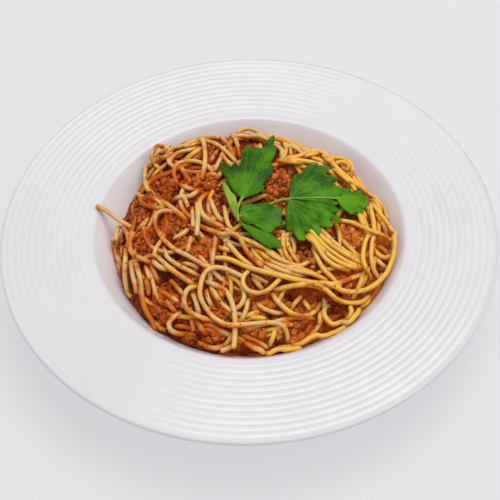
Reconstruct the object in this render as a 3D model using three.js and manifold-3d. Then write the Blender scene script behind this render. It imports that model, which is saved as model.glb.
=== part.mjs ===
// A plate of spaghetti in meat sauce: a wide-rimmed porcelain plate, one heap of spaghetti and
// mince that fills its well, and two sprigs of flat-leaf parsley lying on the heap.
// Millimetres, +Z up. The origin is on the table under the plate's centre, with the diner at -Y.
import * as THREE from 'three';
import { mergeVertices } from 'three/addons/utils/BufferGeometryUtils.js';
import Module from 'manifold-3d';

const wasm = await Module();
wasm.setup();

// Detail finer than this is smoothed away where pieces are joined.
const SMALLEST_DETAIL = 0.2;

// Plate: the rim and the well, seen from above.
const RIM_RADIUS = 150;
const RIM_HEIGHT = 42;
const RIM_EDGE = 1.6;
const LIP_RADIUS = 94.2;
const LIP_HEIGHT = 36;
const LIP_ROUNDING = 1.4;
const FLOOR_RADIUS = 62;
const FLOOR_HEIGHT = 8;

// Plate: the turned ribs of the rim, from the first groove outward.
const GROOVE_COUNT = 12;
const FIRST_GROOVE = 100.4;
const GROOVE_PITCH = 4.18;
const GROOVE_DEPTH = 0.6;

// Plate: the underside, which stands on a foot ring.
const FOOT_OUTER = 60;
const FOOT_INNER = 55;
const FOOT_TAPER = 1;
const WALL_THICKNESS = 5;
const RIM_THICKNESS = 5;
const RIM_ROOT = 3;
const PLATE_SECTORS = 44;

// Plate: the well's wall in steps, which crowd together where it is steepest.
const WALL_STEPS = 9;
const WALL_CROWDING = 1.6;

// Heap: the height of its edge on the well's wall, one value for every 30 degrees round from +X.
const EDGE_HEIGHTS = [28, 25, 24, 27, 32, 22, 20, 22, 23, 20, 20, 27];
const CROWN_HEIGHT = 48;
const FULLNESS = 3;
const FULLNESS_AT_BACK = 0.9;
const DISH_GAP = 1;

// Heap: the mince and sauce inside lie this far under the tops of the strands.
const STRAND_COVER = 3.4;
const EDGE_COVER = 2.5;
const CORE_SECTORS = 36;
const CORE_TOP_RINGS = [0.16, 0.31, 0.45, 0.58, 0.7, 0.8, 0.88, 0.94, 0.98];
const CORE_BOTTOM_RINGS = [0.7, 0.8, 0.88, 0.94];
const CORE_EDGE_THICKNESS = 2;
const LUMP_HEIGHT = 1.1;
const LUMP_SPACING = 17;

// Strands of spaghetti, cooked.
const STRAND_RADIUS = 1.35;
const STRAND_SIDES = 5;
const STRAND_STEP = 13;
const STRAND_TURN = 33;
const LAY_STEP = 2;
const FUSE_DEPTH = 0.5;
const SAG = 0.06;
const TUCK_LENGTH = 7;
const TUCK_DEPTH = 2.4;
const SETTLE_PASSES = 80;
const CURVE_SAMPLES = 40;
const ARC_STEP = 45;

// Strands that lie where they fall, under the ones that are named below.
const LOOSE_STRANDS = 12;
const LOOSE_TRIES = 14;
const LOOSE_LENGTH = [60, 120];
const LOOSE_BEND = [14, 48];
const LOOSE_STEP = 6;
const LOOSE_SEED = 33;

// A loose strand starts, turns back and ends at these shares of the way to the heap's edge. It now
// and then changes the side to which it bends, and one with too few steps isn't laid.
const LOOSE_START = 0.9;
const LOOSE_TURN_BACK = 0.84;
const LOOSE_LIMIT = 0.955;
const LOOSE_TURN = 0.5;
const LOOSE_SWITCH = 0.12;
const LOOSE_FEWEST = 9;

// Crumbs of mince, gathered in patches: centre x and y, and the patch's radius.
const CRUMB_SIZE = [2.6, 4.4];
const CRUMB_FLATNESS = 0.75;
const CRUMB_RISE = 0.2;
const CRUMBS_PER_PATCH = 1;
const CRUMB_SEED = 7;
const MINCE_PATCHES = [
  [23, 26, 13], [61, -14, 9], [33, -32, 5], [-54, -56, 9], [-38, -70, 7], [-18, -72, 8],
  [26, -68, 8], [-66, 14, 8], [-46, -6, 8], [-56, 26, 8], [-27, -24, 8], [-19, -56, 8],
];

// Parsley: leaf thickness, and how a leaf waves and lies.
const LEAF_THICKNESS = 0.9;
const LEAF_LIFT = 5;
const LEAF_WAVE = 1.3;
const LEAF_WAVES = 3;
const LEAF_GAP = 0.3;
const LEAF_MARGIN = 1.5;
const STEM_RADIUS = 1;
const STEM_STEPS = 4;

// Parsley: a leaf has this many rings and no step wider than this, in degrees. Its lobes are this
// blunt, it ends at that share of an outer lobe's half width, and a notch lies at one of these
// shares of the way from tip to tip.
const LEAF_RINGS = 3;
const LEAF_STEP = 13;
const LOBE_BLUNTNESS = 2.2;
const LOBE_END = 0.85;
const NOTCH_SHARES = [0.3, 0.4, 0.5, 0.6, 0.7];

// A strand's path on the plan, as a bow: its middle lies that far to the left of the straight way.
function bow([startX, startY], [endX, endY], aside) {
  const [alongX, alongY] = [endX - startX, endY - startY];
  const share = aside / Math.hypot(alongX, alongY);
  const middle = [(startX + endX) / 2 - alongY * share, (startY + endY) / 2 + alongX * share];
  return [[startX, startY], middle, [endX, endY]];
}

// A path as an arc about a centre, between two directions in degrees.
function arc([centreX, centreY], radius, start, end) {
  const steps = Math.max(2, Math.round(Math.abs(end - start) / ARC_STEP));
  return Array.from({ length: steps + 1 }, (_, i) => {
    const angle = THREE.MathUtils.degToRad(start + (end - start) * (i / steps));
    return [centreX + radius * Math.cos(angle), centreY + radius * Math.sin(angle)];
  });
}

// Named strands, from the lowest to the topmost. A free end is a cut end that shows, where the
// others go down into the sauce.
const STARTS_FREE = [true, false];
const ENDS_FREE = [false, true];
const STRANDS = [
  { path: bow([-75, -14], [-71, -43], -3) },
  { path: bow([-83, 8], [-75, -20], -2) },
  { path: bow([-61, 66], [-59, 25], -5) },
  { path: bow([-53, 66], [-14, 67], -2) },
  { path: arc([-33, 33], 13, 220, 10) },
  { path: arc([-56, 60], 7, 240, -80) },
  { path: bow([-30, 70], [-28, 31], 2), free: ENDS_FREE },
  { path: bow([-29, 69], [-5, 43], 4) },
  { path: bow([-9, 74], [-3, 47], 1) },
  { path: [...arc([3, 73], 7, 180, 40), [20, 61], [28, 54]] },
  { path: [[26, 48], ...arc([57, 44], 10, 135, -40)] },
  { path: bow([50, 53], [73, 14], 1) },
  { path: bow([-50, -19], [-27, -44], -5) },
  { path: bow([-60, -25], [-29, -51], -1) },
  { path: [...arc([-50, 1], 7, 30, 200), [-45, -24], [-22, -38]] },
  { path: bow([-68, -26], [-56, -65], -2), free: ENDS_FREE },
  { path: bow([-70, -4], [-57, -31], -6) },
  { path: bow([-24, 19], [-12, -13], -9) },
  { path: bow([35, -21], [59, -40], -3) },
  { path: bow([42, -20], [65, -36], -1) },
  { path: bow([2, -27], [37, -48], -5) },
  { path: bow([11, -33], [48, -48], 0) },
  { path: bow([-11, -32], [68, -39], -12) },
  { path: bow([-28, -10], [8, -42], 8) },
  { path: bow([43, -52], [71, -49], -7) },
  { path: bow([72, -13], [68, -43], -3) },
  { path: bow([74, 10], [75, -42], -2) },
  { path: [[61, -8], ...arc([81, -8], 5, 260, 380), [74, 15]] },
  { path: arc([58, -22], 29, 22, -125) },
  { path: arc([52, -58], 9, 180, 360) },
  { path: bow([8, -80], [56, -63], -4) },
  { path: arc([-40, -67], 6, 290, 80) },
  { path: arc([-19, -70], 10, 210, 355) },
  { path: [...arc([-30, -57], 8, 95, 235), [-24, -69]] },
  { path: bow([-26, -47], [-11, -81], 8), free: ENDS_FREE },
  { path: arc([-14, -54], 10, 90, -50) },
  { path: arc([26, -53], 14, 195, 340) },
  { path: [...arc([4, -47], 8, 130, 280), [17, -46]] },
  { path: [...arc([-15, -54], 15, 50, 240), [-4, -72], [17, -72]] },
  { path: bow([-94, 19], [-71, 3], 1), free: STARTS_FREE },
];

// Parsley leaflets: the base, then the lobes side by side, each as its direction in degrees, its
// length from the base and its half width in degrees.
const LEFT_SPRIG = {
  leaflets: [
    {
      base: [-3, 9],
      lobes: [
        [112, 34, 12], [98, 30, 14], [84, 46, 12], [76, 46, 12], [68, 60, 12], [56, 34, 16], [42, 18, 24],
      ],
    },
    {
      base: [-5, -2],
      lobes: [[44, 12, 40], [18, 22, 34], [-2, 26, 30], [-16, 27, 26], [-34, 24, 24], [-56, 12, 26]],
    },
    { base: [-6, -8], lobes: [[104, 33, 16]] },
    { base: [-5, -9], lobes: [[-35, 31, 14], [-45, 27, 18]] },
  ],
  stems: [[[-3, 11], [-6, 2], [-6, -8]], [[-6, -4], [-1, -5]]],
};
const RIGHT_SPRIG = {
  leaflets: [
    {
      base: [25, 8],
      lobes: [[74, 25, 12], [61, 40, 14], [49, 41, 15], [32, 36, 20], [14, 35, 22], [-4, 30, 14]],
    },
    {
      base: [25, 7],
      lobes: [
        [4, 28, 14], [-12, 31, 16], [-28, 35, 16], [-42, 33, 14], [-56, 31, 14], [-66, 26, 12],
        [-79, 32, 16], [-92, 24, 16],
      ],
    },
    {
      base: [54, 9],
      lobes: [
        [80, 9, 40], [50, 16, 26], [32, 21, 20], [14, 22, 20], [-6, 20, 20], [-26, 18, 24], [-48, 15, 28],
      ],
    },
  ],
  stems: [[[19, 7.5], [25, 8], [40, 9]], [[40, 9], [55, 9]]],
};

// Colours and gloss.
const porcelain = new THREE.MeshStandardMaterial({ color: 0xe9e8ea, roughness: 0.22, metalness: 0 });
const pasta = new THREE.MeshStandardMaterial({ color: 0xd9a24a, roughness: 0.42, metalness: 0 });
const parsley = new THREE.MeshStandardMaterial({ color: 0x3c7a1c, roughness: 0.5, metalness: 0 });

const radians = THREE.MathUtils.degToRad;
const FULL_TURN = 2 * Math.PI;

function seededRandom(seed) {
  let state = seed;
  return () => {
    state = (state * 1664525 + 1013904223) % 4294967296;
    return state / 4294967296;
  };
}

function between([low, high], random) {
  return low + (high - low) * random();
}

// Solids: from a closed geometry, and back to one.
function toSolid(geometry) {
  const bare = geometry.clone();
  for (const name of Object.keys(bare.attributes)) {
    if (name !== 'position') bare.deleteAttribute(name);
  }
  const merged = mergeVertices(bare, 1e-4);
  return new wasm.Manifold(new wasm.Mesh({
    numProp: 3,
    vertProperties: new Float32Array(merged.attributes.position.array),
    triVerts: new Uint32Array(merged.index.array),
  }));
}

function toGeometry(solid) {
  const mesh = solid.getMesh();
  const geometry = new THREE.BufferGeometry();
  geometry.setAttribute('position', new THREE.BufferAttribute(mesh.vertProperties, 3));
  geometry.setIndex(new THREE.BufferAttribute(mesh.triVerts, 1));
  geometry.computeVertexNormals();
  return geometry;
}

// The outer skin of everything joined, without the hollows that joining shuts off.
function outerSkin(solid) {
  return solid.decompose().sort((a, b) => b.volume() - a.volume())[0];
}

function joinAll(solids) {
  const joined = outerSkin(wasm.Manifold.union(solids));
  return outerSkin(joined.asOriginal().simplify(SMALLEST_DETAIL));
}

// Plate.
function wellHeight(radius) {
  const up = Math.max(0, (radius - FLOOR_RADIUS) / (LIP_RADIUS - FLOOR_RADIUS));
  return FLOOR_HEIGHT + (LIP_HEIGHT - FLOOR_HEIGHT) * up * up;
}

function wellRadius(height) {
  const up = Math.sqrt(Math.max(0, (height - FLOOR_HEIGHT) / (LIP_HEIGHT - FLOOR_HEIGHT)));
  return FLOOR_RADIUS + (LIP_RADIUS - FLOOR_RADIUS) * up;
}

function rimHeight(radius) {
  return LIP_HEIGHT + (RIM_HEIGHT - LIP_HEIGHT) * (radius - LIP_RADIUS) / (RIM_RADIUS - LIP_RADIUS);
}

function dishHeight(radius) {
  return radius < LIP_RADIUS ? wellHeight(radius) : rimHeight(radius);
}

function wallStep(step) {
  const up = 1 - (1 - step / WALL_STEPS) ** WALL_CROWDING;
  const radius = FLOOR_RADIUS + (LIP_RADIUS - FLOOR_RADIUS) * up;
  return [radius, wellHeight(radius)];
}

// The outside of the well's wall, straight out from one of its steps.
function wallOutside(step) {
  const [radius, height] = wallStep(step);
  const slope = (2 * (height - FLOOR_HEIGHT)) / (radius - FLOOR_RADIUS);
  const out = WALL_THICKNESS / Math.hypot(slope, 1);
  return [radius + slope * out, height - out];
}

function makePlate() {
  const top = [[0, FLOOR_HEIGHT], [FLOOR_RADIUS * 0.6, FLOOR_HEIGHT]];
  for (let step = 0; step < WALL_STEPS; step += 1) top.push(wallStep(step));
  const lipEnd = LIP_RADIUS + LIP_ROUNDING;
  top.push([LIP_RADIUS, LIP_HEIGHT - LIP_ROUNDING / 4], [lipEnd, rimHeight(lipEnd)]);
  for (let groove = 0; groove < GROOVE_COUNT; groove += 1) {
    const radius = FIRST_GROOVE + groove * GROOVE_PITCH;
    if (groove === 0) top.push([radius - GROOVE_PITCH / 3, rimHeight(radius - GROOVE_PITCH / 3)]);
    top.push([radius, rimHeight(radius) - GROOVE_DEPTH]);
    const crest = radius + (groove === GROOVE_COUNT - 1 ? GROOVE_PITCH / 3 : GROOVE_PITCH / 2);
    top.push([crest, rimHeight(crest)]);
  }
  top.push([RIM_RADIUS - RIM_EDGE / 2, RIM_HEIGHT], [RIM_RADIUS, RIM_HEIGHT - RIM_EDGE]);

  const rimRoot = LIP_RADIUS + WALL_THICKNESS + RIM_ROOT;
  const underside = [
    [RIM_RADIUS - RIM_EDGE, RIM_HEIGHT - RIM_THICKNESS],
    [rimRoot, rimHeight(rimRoot) - RIM_THICKNESS],
  ];
  for (let step = WALL_STEPS - 1; step > 0; step -= 2) underside.push(wallOutside(step));
  const underHeight = FLOOR_HEIGHT - WALL_THICKNESS;
  underside.push([FOOT_OUTER + FOOT_TAPER, underHeight], [FOOT_OUTER, 0]);
  underside.push([FOOT_INNER, 0], [FOOT_INNER - FOOT_TAPER, underHeight], [0, underHeight]);

  const profile = [...top, ...underside].map(([radius, height]) => new THREE.Vector2(radius, height));
  const geometry = new THREE.LatheGeometry(profile.reverse(), PLATE_SECTORS);
  geometry.rotateX(Math.PI / 2);
  return geometry;
}

// Heap: its edge and its height, by direction.
function edgeHeight(angle) {
  const turned = THREE.MathUtils.euclideanModulo(angle, FULL_TURN) / FULL_TURN;
  const place = turned * EDGE_HEIGHTS.length;
  const before = Math.floor(place) % EDGE_HEIGHTS.length;
  const after = (before + 1) % EDGE_HEIGHTS.length;
  const share = THREE.MathUtils.smoothstep(place - Math.floor(place), 0, 1);
  return EDGE_HEIGHTS[before] * (1 - share) + EDGE_HEIGHTS[after] * share;
}

function edgeRadius(angle) {
  return wellRadius(edgeHeight(angle)) - DISH_GAP;
}

function domeHeight(radius, angle, cover) {
  const edge = edgeHeight(angle) - cover / 2;
  const share = Math.min(1, radius / (edgeRadius(angle) - (cover > 0 ? EDGE_COVER : 0)));
  const fullness = FULLNESS + FULLNESS_AT_BACK * Math.sin(angle);
  return edge + (CROWN_HEIGHT - cover - edge) * Math.sqrt(1 - share ** fullness);
}

function heapTop(x, y) {
  return domeHeight(Math.hypot(x, y), Math.atan2(y, x), 0);
}

// Gentle lumps of the mince under the strands.
function lumps(x, y) {
  const wave = FULL_TURN / LUMP_SPACING;
  const across = Math.sin(wave * x + 1.3 * Math.sin(wave * 0.61 * y));
  const along = Math.sin(wave * 0.87 * y + 1.7 * Math.sin(wave * 0.53 * x));
  return LUMP_HEIGHT * across * along;
}

function coreHeight(x, y) {
  const angle = Math.atan2(y, x);
  const radius = Math.hypot(x, y);
  const inside = 1 - Math.min(1, radius / (edgeRadius(angle) - EDGE_COVER)) ** 4;
  return domeHeight(radius, angle, STRAND_COVER) + lumps(x, y) * inside;
}

function makeCore() {
  const rings = [];
  const ring = (share, height) => {
    const points = [];
    for (let sector = 0; sector < CORE_SECTORS; sector += 1) {
      const angle = (sector / CORE_SECTORS) * FULL_TURN;
      const radius = share * (edgeRadius(angle) - EDGE_COVER);
      const x = radius * Math.cos(angle);
      const y = radius * Math.sin(angle);
      points.push([x, y, height(x, y, radius)]);
    }
    rings.push(points);
  };
  const onDish = (x, y, radius) => wellHeight(radius) + DISH_GAP;
  for (const share of CORE_BOTTOM_RINGS) ring(share, onDish);
  ring(1, onDish);
  const atEdge = (x, y, radius) => onDish(x, y, radius) + CORE_EDGE_THICKNESS;
  ring(1, (x, y, radius) => Math.max(coreHeight(x, y), atEdge(x, y, radius)));
  for (const share of [...CORE_TOP_RINGS].reverse()) ring(share, coreHeight);

  const positions = rings.flat(2);
  const indices = [];
  for (let row = 0; row + 1 < rings.length; row += 1) {
    for (let sector = 0; sector < CORE_SECTORS; sector += 1) {
      const next = (sector + 1) % CORE_SECTORS;
      const [a, b] = [row * CORE_SECTORS + sector, row * CORE_SECTORS + next];
      const [c, d] = [a + CORE_SECTORS, b + CORE_SECTORS];
      indices.push(a, b, d, a, d, c);
    }
  }
  const bottomCentre = positions.length / 3;
  positions.push(0, 0, FLOOR_HEIGHT + DISH_GAP, 0, 0, coreHeight(0, 0));
  const lastRow = (rings.length - 1) * CORE_SECTORS;
  for (let sector = 0; sector < CORE_SECTORS; sector += 1) {
    const next = (sector + 1) % CORE_SECTORS;
    indices.push(bottomCentre, next, sector);
    indices.push(bottomCentre + 1, lastRow + sector, lastRow + next);
  }
  const geometry = new THREE.BufferGeometry();
  geometry.setAttribute('position', new THREE.Float32BufferAttribute(positions, 3));
  geometry.setIndex(indices);
  return geometry;
}

// The top of what lies on the plate so far, on a grid of 1 mm, so that each strand rests on it.
const PILE_HALF = 110;
const PILE_SIZE = 2 * PILE_HALF + 1;
const pile = new Float32Array(PILE_SIZE * PILE_SIZE);
for (let row = 0; row < PILE_SIZE; row += 1) {
  for (let column = 0; column < PILE_SIZE; column += 1) {
    const [x, y] = [column - PILE_HALF, row - PILE_HALF];
    const radius = Math.hypot(x, y);
    const inCore = radius < edgeRadius(Math.atan2(y, x)) - EDGE_COVER;
    const bare = dishHeight(radius) + DISH_GAP;
    pile[row * PILE_SIZE + column] = inCore ? Math.max(bare, coreHeight(x, y) - FUSE_DEPTH) : bare;
  }
}

function aroundPoint(x, y, reach, visit) {
  for (let row = Math.ceil(y - reach); row <= y + reach; row += 1) {
    for (let column = Math.ceil(x - reach); column <= x + reach; column += 1) {
      const squared = reach * reach - (column - x) ** 2 - (row - y) ** 2;
      if (squared > 0) visit((row + PILE_HALF) * PILE_SIZE + column + PILE_HALF, Math.sqrt(squared));
    }
  }
}

function restHeight(x, y) {
  let height = -Infinity;
  aroundPoint(x, y, STRAND_RADIUS, (cell, rise) => {
    height = Math.max(height, pile[cell] + rise);
  });
  return height;
}

// Lays a strand on the pile: it bends down over what it crosses, and sags a little between.
function layStrand(flat, free) {
  const count = Math.max(3, Math.round(flat.getLength() / LAY_STEP));
  const plan = flat.getSpacedPoints(count);
  const rest = plan.map((point) => restHeight(point.x, point.y));
  const height = [...rest];
  for (let pass = 0; pass < SETTLE_PASSES; pass += 1) {
    for (let i = 1; i < count; i += 1) {
      height[i] = Math.max(rest[i], (height[i - 1] + height[i + 1]) / 2 - SAG);
    }
  }
  plan.forEach((point, i) => {
    aroundPoint(point.x, point.y, STRAND_RADIUS, (cell, rise) => {
      pile[cell] = Math.max(pile[cell], height[i] + rise - FUSE_DEPTH);
    });
  });
  const length = flat.getLength();
  return plan.map((point, i) => {
    const along = (i / count) * length;
    const fromStart = free[0] ? length : along;
    const fromEnd = free[1] ? length : length - along;
    const tuck = Math.max(0, 1 - Math.min(fromStart, fromEnd) / TUCK_LENGTH);
    const onDish = dishHeight(Math.hypot(point.x, point.y)) + DISH_GAP + STRAND_RADIUS;
    return new THREE.Vector3(point.x, point.y, Math.max(onDish, height[i] - TUCK_DEPTH * tuck * tuck));
  });
}

const strandSection = new THREE.Shape();
for (let side = 0; side < STRAND_SIDES; side += 1) {
  const angle = (side / STRAND_SIDES) * FULL_TURN;
  const corner = [STRAND_RADIUS * Math.cos(angle), STRAND_RADIUS * Math.sin(angle)];
  if (side === 0) strandSection.moveTo(...corner);
  else strandSection.lineTo(...corner);
}

// How far a curve turns along its whole length, in degrees.
function turning(curve) {
  const samples = Array.from({ length: CURVE_SAMPLES + 1 }, (_, i) => i / CURVE_SAMPLES);
  const tangents = samples.map((share) => curve.getTangentAt(share));
  let total = 0;
  for (let i = 1; i < tangents.length; i += 1) total += tangents[i].angleTo(tangents[i - 1]);
  return THREE.MathUtils.radToDeg(total);
}

function strandSolid(flat, free) {
  const extrudePath = new THREE.CatmullRomCurve3(layStrand(flat, free), false, 'centripetal');
  const steps = Math.ceil(Math.max(3, turning(flat) / STRAND_TURN, flat.getLength() / STRAND_STEP));
  const options = { steps, bevelEnabled: false, extrudePath };
  return toSolid(new THREE.ExtrudeGeometry(strandSection, options));
}

function flatCurve(points) {
  const flat = points.map(([x, y]) => new THREE.Vector3(x, y, 0));
  return new THREE.CatmullRomCurve3(flat, false, 'centripetal');
}

// A strand that lies where it falls: it winds one way and then the other, and turns back at the wall.
function looseStrand(random) {
  const startAngle = FULL_TURN * random();
  const startRadius = LOOSE_START * edgeRadius(startAngle) * Math.sqrt(random());
  let [x, y] = [startRadius * Math.cos(startAngle), startRadius * Math.sin(startAngle)];
  let heading = FULL_TURN * random();
  let bend = (random() < 0.5 ? -1 : 1) / between(LOOSE_BEND, random);
  const points = [[x, y]];
  const length = between(LOOSE_LENGTH, random);
  const outward = () => Math.hypot(x, y) / edgeRadius(Math.atan2(y, x));
  for (let gone = 0; gone < length; gone += LOOSE_STEP) {
    const fromWall = heading - Math.atan2(y, x);
    const side = Math.sign(Math.sin(fromWall)) || 1;
    const turnsBack = outward() > LOOSE_TURN_BACK && Math.cos(fromWall) > -0.2;
    if (random() < LOOSE_SWITCH) bend = -bend;
    heading += bend * LOOSE_STEP + (turnsBack ? side * LOOSE_TURN : 0);
    x += LOOSE_STEP * Math.cos(heading);
    y += LOOSE_STEP * Math.sin(heading);
    if (outward() > LOOSE_LIMIT) break;
    points.push([x, y]);
  }
  return points;
}

function makeCrumbs() {
  const random = seededRandom(CRUMB_SEED);
  const crumbs = [];
  for (const [centreX, centreY, reach] of MINCE_PATCHES) {
    for (let i = 0; i < CRUMBS_PER_PATCH; i += 1) {
      const angle = FULL_TURN * random();
      const away = reach * Math.sqrt(random());
      const x = centreX + away * Math.cos(angle);
      const y = centreY + away * Math.sin(angle);
      const size = between(CRUMB_SIZE, random);
      const lump = new THREE.IcosahedronGeometry(size, 0);
      lump.rotateX(Math.PI * random());
      lump.rotateY(Math.PI * random());
      lump.scale(1, between([CRUMB_FLATNESS, 1], random), CRUMB_FLATNESS);
      lump.translate(x, y, coreHeight(x, y) + CRUMB_RISE * size);
      if (Math.hypot(x, y) + size < edgeRadius(Math.atan2(y, x))) crumbs.push(toSolid(lump));
    }
  }
  return crumbs;
}

// How far a strand stays from the others on average, so that the barest places are filled first.
function openness(points, taken) {
  const nearest = ([x, y]) => Math.min(...taken.map(([a, b]) => Math.hypot(a - x, b - y)));
  return points.map(nearest).reduce((sum, distance) => sum + distance, 0) / points.length;
}

function makeHeap() {
  const random = seededRandom(LOOSE_SEED);
  const solids = [toSolid(makeCore()), ...makeCrumbs()];
  const along = ({ path }) => flatCurve(path).getSpacedPoints(LOOSE_FEWEST + 3);
  const taken = STRANDS.flatMap(along).map(({ x, y }) => [x, y]);
  for (let laid = 0; laid < LOOSE_STRANDS; laid += 1) {
    const tries = Array.from({ length: LOOSE_TRIES }, () => looseStrand(random));
    const long = tries.filter((points) => points.length >= LOOSE_FEWEST);
    const best = long.sort((a, b) => openness(b, taken) - openness(a, taken))[0];
    solids.push(strandSolid(flatCurve(best), [false, false]));
    taken.push(...best);
  }
  for (const { path, free = [false, false] } of STRANDS) {
    solids.push(strandSolid(flatCurve(path), free));
  }
  return joinAll(solids);
}

// Parsley. How far a leaflet reaches from its base in a direction.
function leafReach(lobes, direction) {
  return Math.max(...lobes.map(([tip, length, width]) => {
    const aside = Math.min(1, Math.abs(direction - tip) / width);
    return length * (1 - aside ** LOBE_BLUNTNESS);
  }));
}

// A leaflet's outline, as direction and length: its two ends, each tip, and the notch between two.
function leafOutline(lobes) {
  const last = lobes[lobes.length - 1];
  const directions = [lobes[0][0] + LOBE_END * lobes[0][2]];
  lobes.forEach(([tip], i) => {
    directions.push(tip);
    if (i + 1 === lobes.length) return;
    const tries = NOTCH_SHARES.map((share) => tip + (lobes[i + 1][0] - tip) * share);
    directions.push(tries.sort((a, b) => leafReach(lobes, a) - leafReach(lobes, b))[0]);
  });
  directions.push(last[0] - LOBE_END * last[2]);
  const filled = directions.flatMap((direction, i) => {
    const before = directions[Math.max(0, i - 1)];
    return before - direction > LEAF_STEP ? [(before + direction) / 2, direction] : [direction];
  });
  return filled.map((direction) => [direction, leafReach(lobes, direction)]);
}

function leafHeight(x, y, share, direction) {
  const wave = Math.sin(LEAF_WAVES * radians(direction) * 2 + x / 9);
  return heapTop(x, y) + LEAF_LIFT + LEAF_WAVE * wave * share;
}

// A leaflet spreads from its base like a fan, in rings, and both of its faces are split alike.
function leafletGeometry({ base, lobes }) {
  const fan = leafOutline(lobes);
  const steps = fan.length - 1;
  const positions = [];
  const addBoth = (x, y, height) => {
    positions.push(x, y, height + LEAF_THICKNESS / 2, x, y, height - LEAF_THICKNESS / 2);
  };
  addBoth(base[0], base[1], leafHeight(base[0], base[1], 0, 0));
  for (const [direction, length] of fan) {
    for (let ring = 1; ring <= LEAF_RINGS; ring += 1) {
      const share = ring / LEAF_RINGS;
      const x = base[0] + share * length * Math.cos(radians(direction));
      const y = base[1] + share * length * Math.sin(radians(direction));
      addBoth(x, y, leafHeight(x, y, share, direction));
    }
  }
  const at = (i, ring) => (ring === 0 ? 0 : 2 * (1 + i * LEAF_RINGS + ring - 1));
  const indices = [];
  const face = (a, b, c) => {
    indices.push(a, b, c, a + 1, c + 1, b + 1);
  };
  const wall = (a, b) => {
    indices.push(a, b + 1, b, a, a + 1, b + 1);
  };
  for (let i = 0; i < steps; i += 1) {
    face(0, at(i + 1, 1), at(i, 1));
    for (let ring = 1; ring < LEAF_RINGS; ring += 1) {
      face(at(i, ring), at(i + 1, ring), at(i + 1, ring + 1));
      face(at(i, ring), at(i + 1, ring + 1), at(i, ring + 1));
    }
    wall(at(i + 1, LEAF_RINGS), at(i, LEAF_RINGS));
  }
  for (let ring = 0; ring < LEAF_RINGS; ring += 1) {
    wall(at(0, ring + 1), at(0, ring));
    wall(at(steps, ring), at(steps, ring + 1));
  }
  const geometry = new THREE.BufferGeometry();
  geometry.setAttribute('position', new THREE.Float32BufferAttribute(positions, 3));
  geometry.setIndex(indices);
  return geometry;
}

function stemGeometry(points) {
  const spine = points.map(([x, y]) => new THREE.Vector3(x, y, leafHeight(x, y, 0, 0)));
  const section = new THREE.Shape();
  section.moveTo(STEM_RADIUS, 0).lineTo(0, STEM_RADIUS).lineTo(-STEM_RADIUS, 0).lineTo(0, -STEM_RADIUS);
  const extrudePath = new THREE.CatmullRomCurve3(spine, false, 'centripetal');
  return new THREE.ExtrudeGeometry(section, { steps: STEM_STEPS, bevelEnabled: false, extrudePath });
}

// A sprig settles straight down until it meets the topmost strand under it.
function makeSprig({ leaflets, stems }) {
  const parts = [...leaflets.map(leafletGeometry), ...stems.map(stemGeometry)];
  const sprig = joinAll(parts.map(toSolid));
  let clearance = Infinity;
  const mesh = sprig.getMesh();
  const corner = (index) => new THREE.Vector3().fromArray(mesh.vertProperties, 3 * index);
  for (let i = 0; i < mesh.triVerts.length; i += 3) {
    const [a, b, c] = [0, 1, 2].map((k) => corner(mesh.triVerts[i + k]));
    const steps = Math.ceil(Math.max(a.distanceTo(b), a.distanceTo(c)));
    for (let p = 0; p <= steps; p += 1) {
      for (let q = 0; p + q <= steps; q += 1) {
        const [s, t] = [p / steps, q / steps];
        const point = a.clone().multiplyScalar(1 - s - t).addScaledVector(b, s).addScaledVector(c, t);
        aroundPoint(point.x, point.y, LEAF_MARGIN, (cell) => {
          clearance = Math.min(clearance, point.z - pile[cell] - FUSE_DEPTH);
        });
      }
    }
  }
  return sprig.translate([0, 0, LEAF_GAP - clearance]);
}

function named(name, geometry, material) {
  const mesh = new THREE.Mesh(geometry, material);
  mesh.name = name;
  return mesh;
}

const dish = new THREE.Group();
dish.add(named('plate', makePlate(), porcelain));
dish.add(named('spaghetti_heap', toGeometry(makeHeap()), pasta));
dish.add(named('parsley_left', toGeometry(makeSprig(LEFT_SPRIG)), parsley));
dish.add(named('parsley_right', toGeometry(makeSprig(RIGHT_SPRIG)), parsley));

export default dish;
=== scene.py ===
# The looks of a plate of spaghetti in meat sauce with parsley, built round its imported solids.
# Lengths are in millimetres and become metres where a mesh is made. The origin is on the table
# under the plate's centre, +Z is up and the diner sits at -Y.
import math

import bmesh
import bpy
import numpy as np
from mathutils import Matrix, Vector, noise


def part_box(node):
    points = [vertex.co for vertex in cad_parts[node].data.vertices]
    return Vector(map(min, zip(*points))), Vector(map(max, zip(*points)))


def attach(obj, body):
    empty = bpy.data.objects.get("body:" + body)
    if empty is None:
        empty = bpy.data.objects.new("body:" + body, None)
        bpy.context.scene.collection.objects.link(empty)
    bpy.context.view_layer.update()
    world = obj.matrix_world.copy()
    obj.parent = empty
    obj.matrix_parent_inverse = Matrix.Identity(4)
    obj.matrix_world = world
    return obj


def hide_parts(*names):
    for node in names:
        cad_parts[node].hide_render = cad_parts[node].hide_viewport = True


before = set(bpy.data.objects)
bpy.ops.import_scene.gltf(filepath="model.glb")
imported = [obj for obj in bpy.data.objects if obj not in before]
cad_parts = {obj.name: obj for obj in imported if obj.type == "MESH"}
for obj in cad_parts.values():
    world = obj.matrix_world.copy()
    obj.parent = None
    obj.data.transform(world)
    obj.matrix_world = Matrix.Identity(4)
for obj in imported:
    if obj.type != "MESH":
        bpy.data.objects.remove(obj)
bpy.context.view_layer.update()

MM = 0.001
TURN = 2 * math.pi

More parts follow.
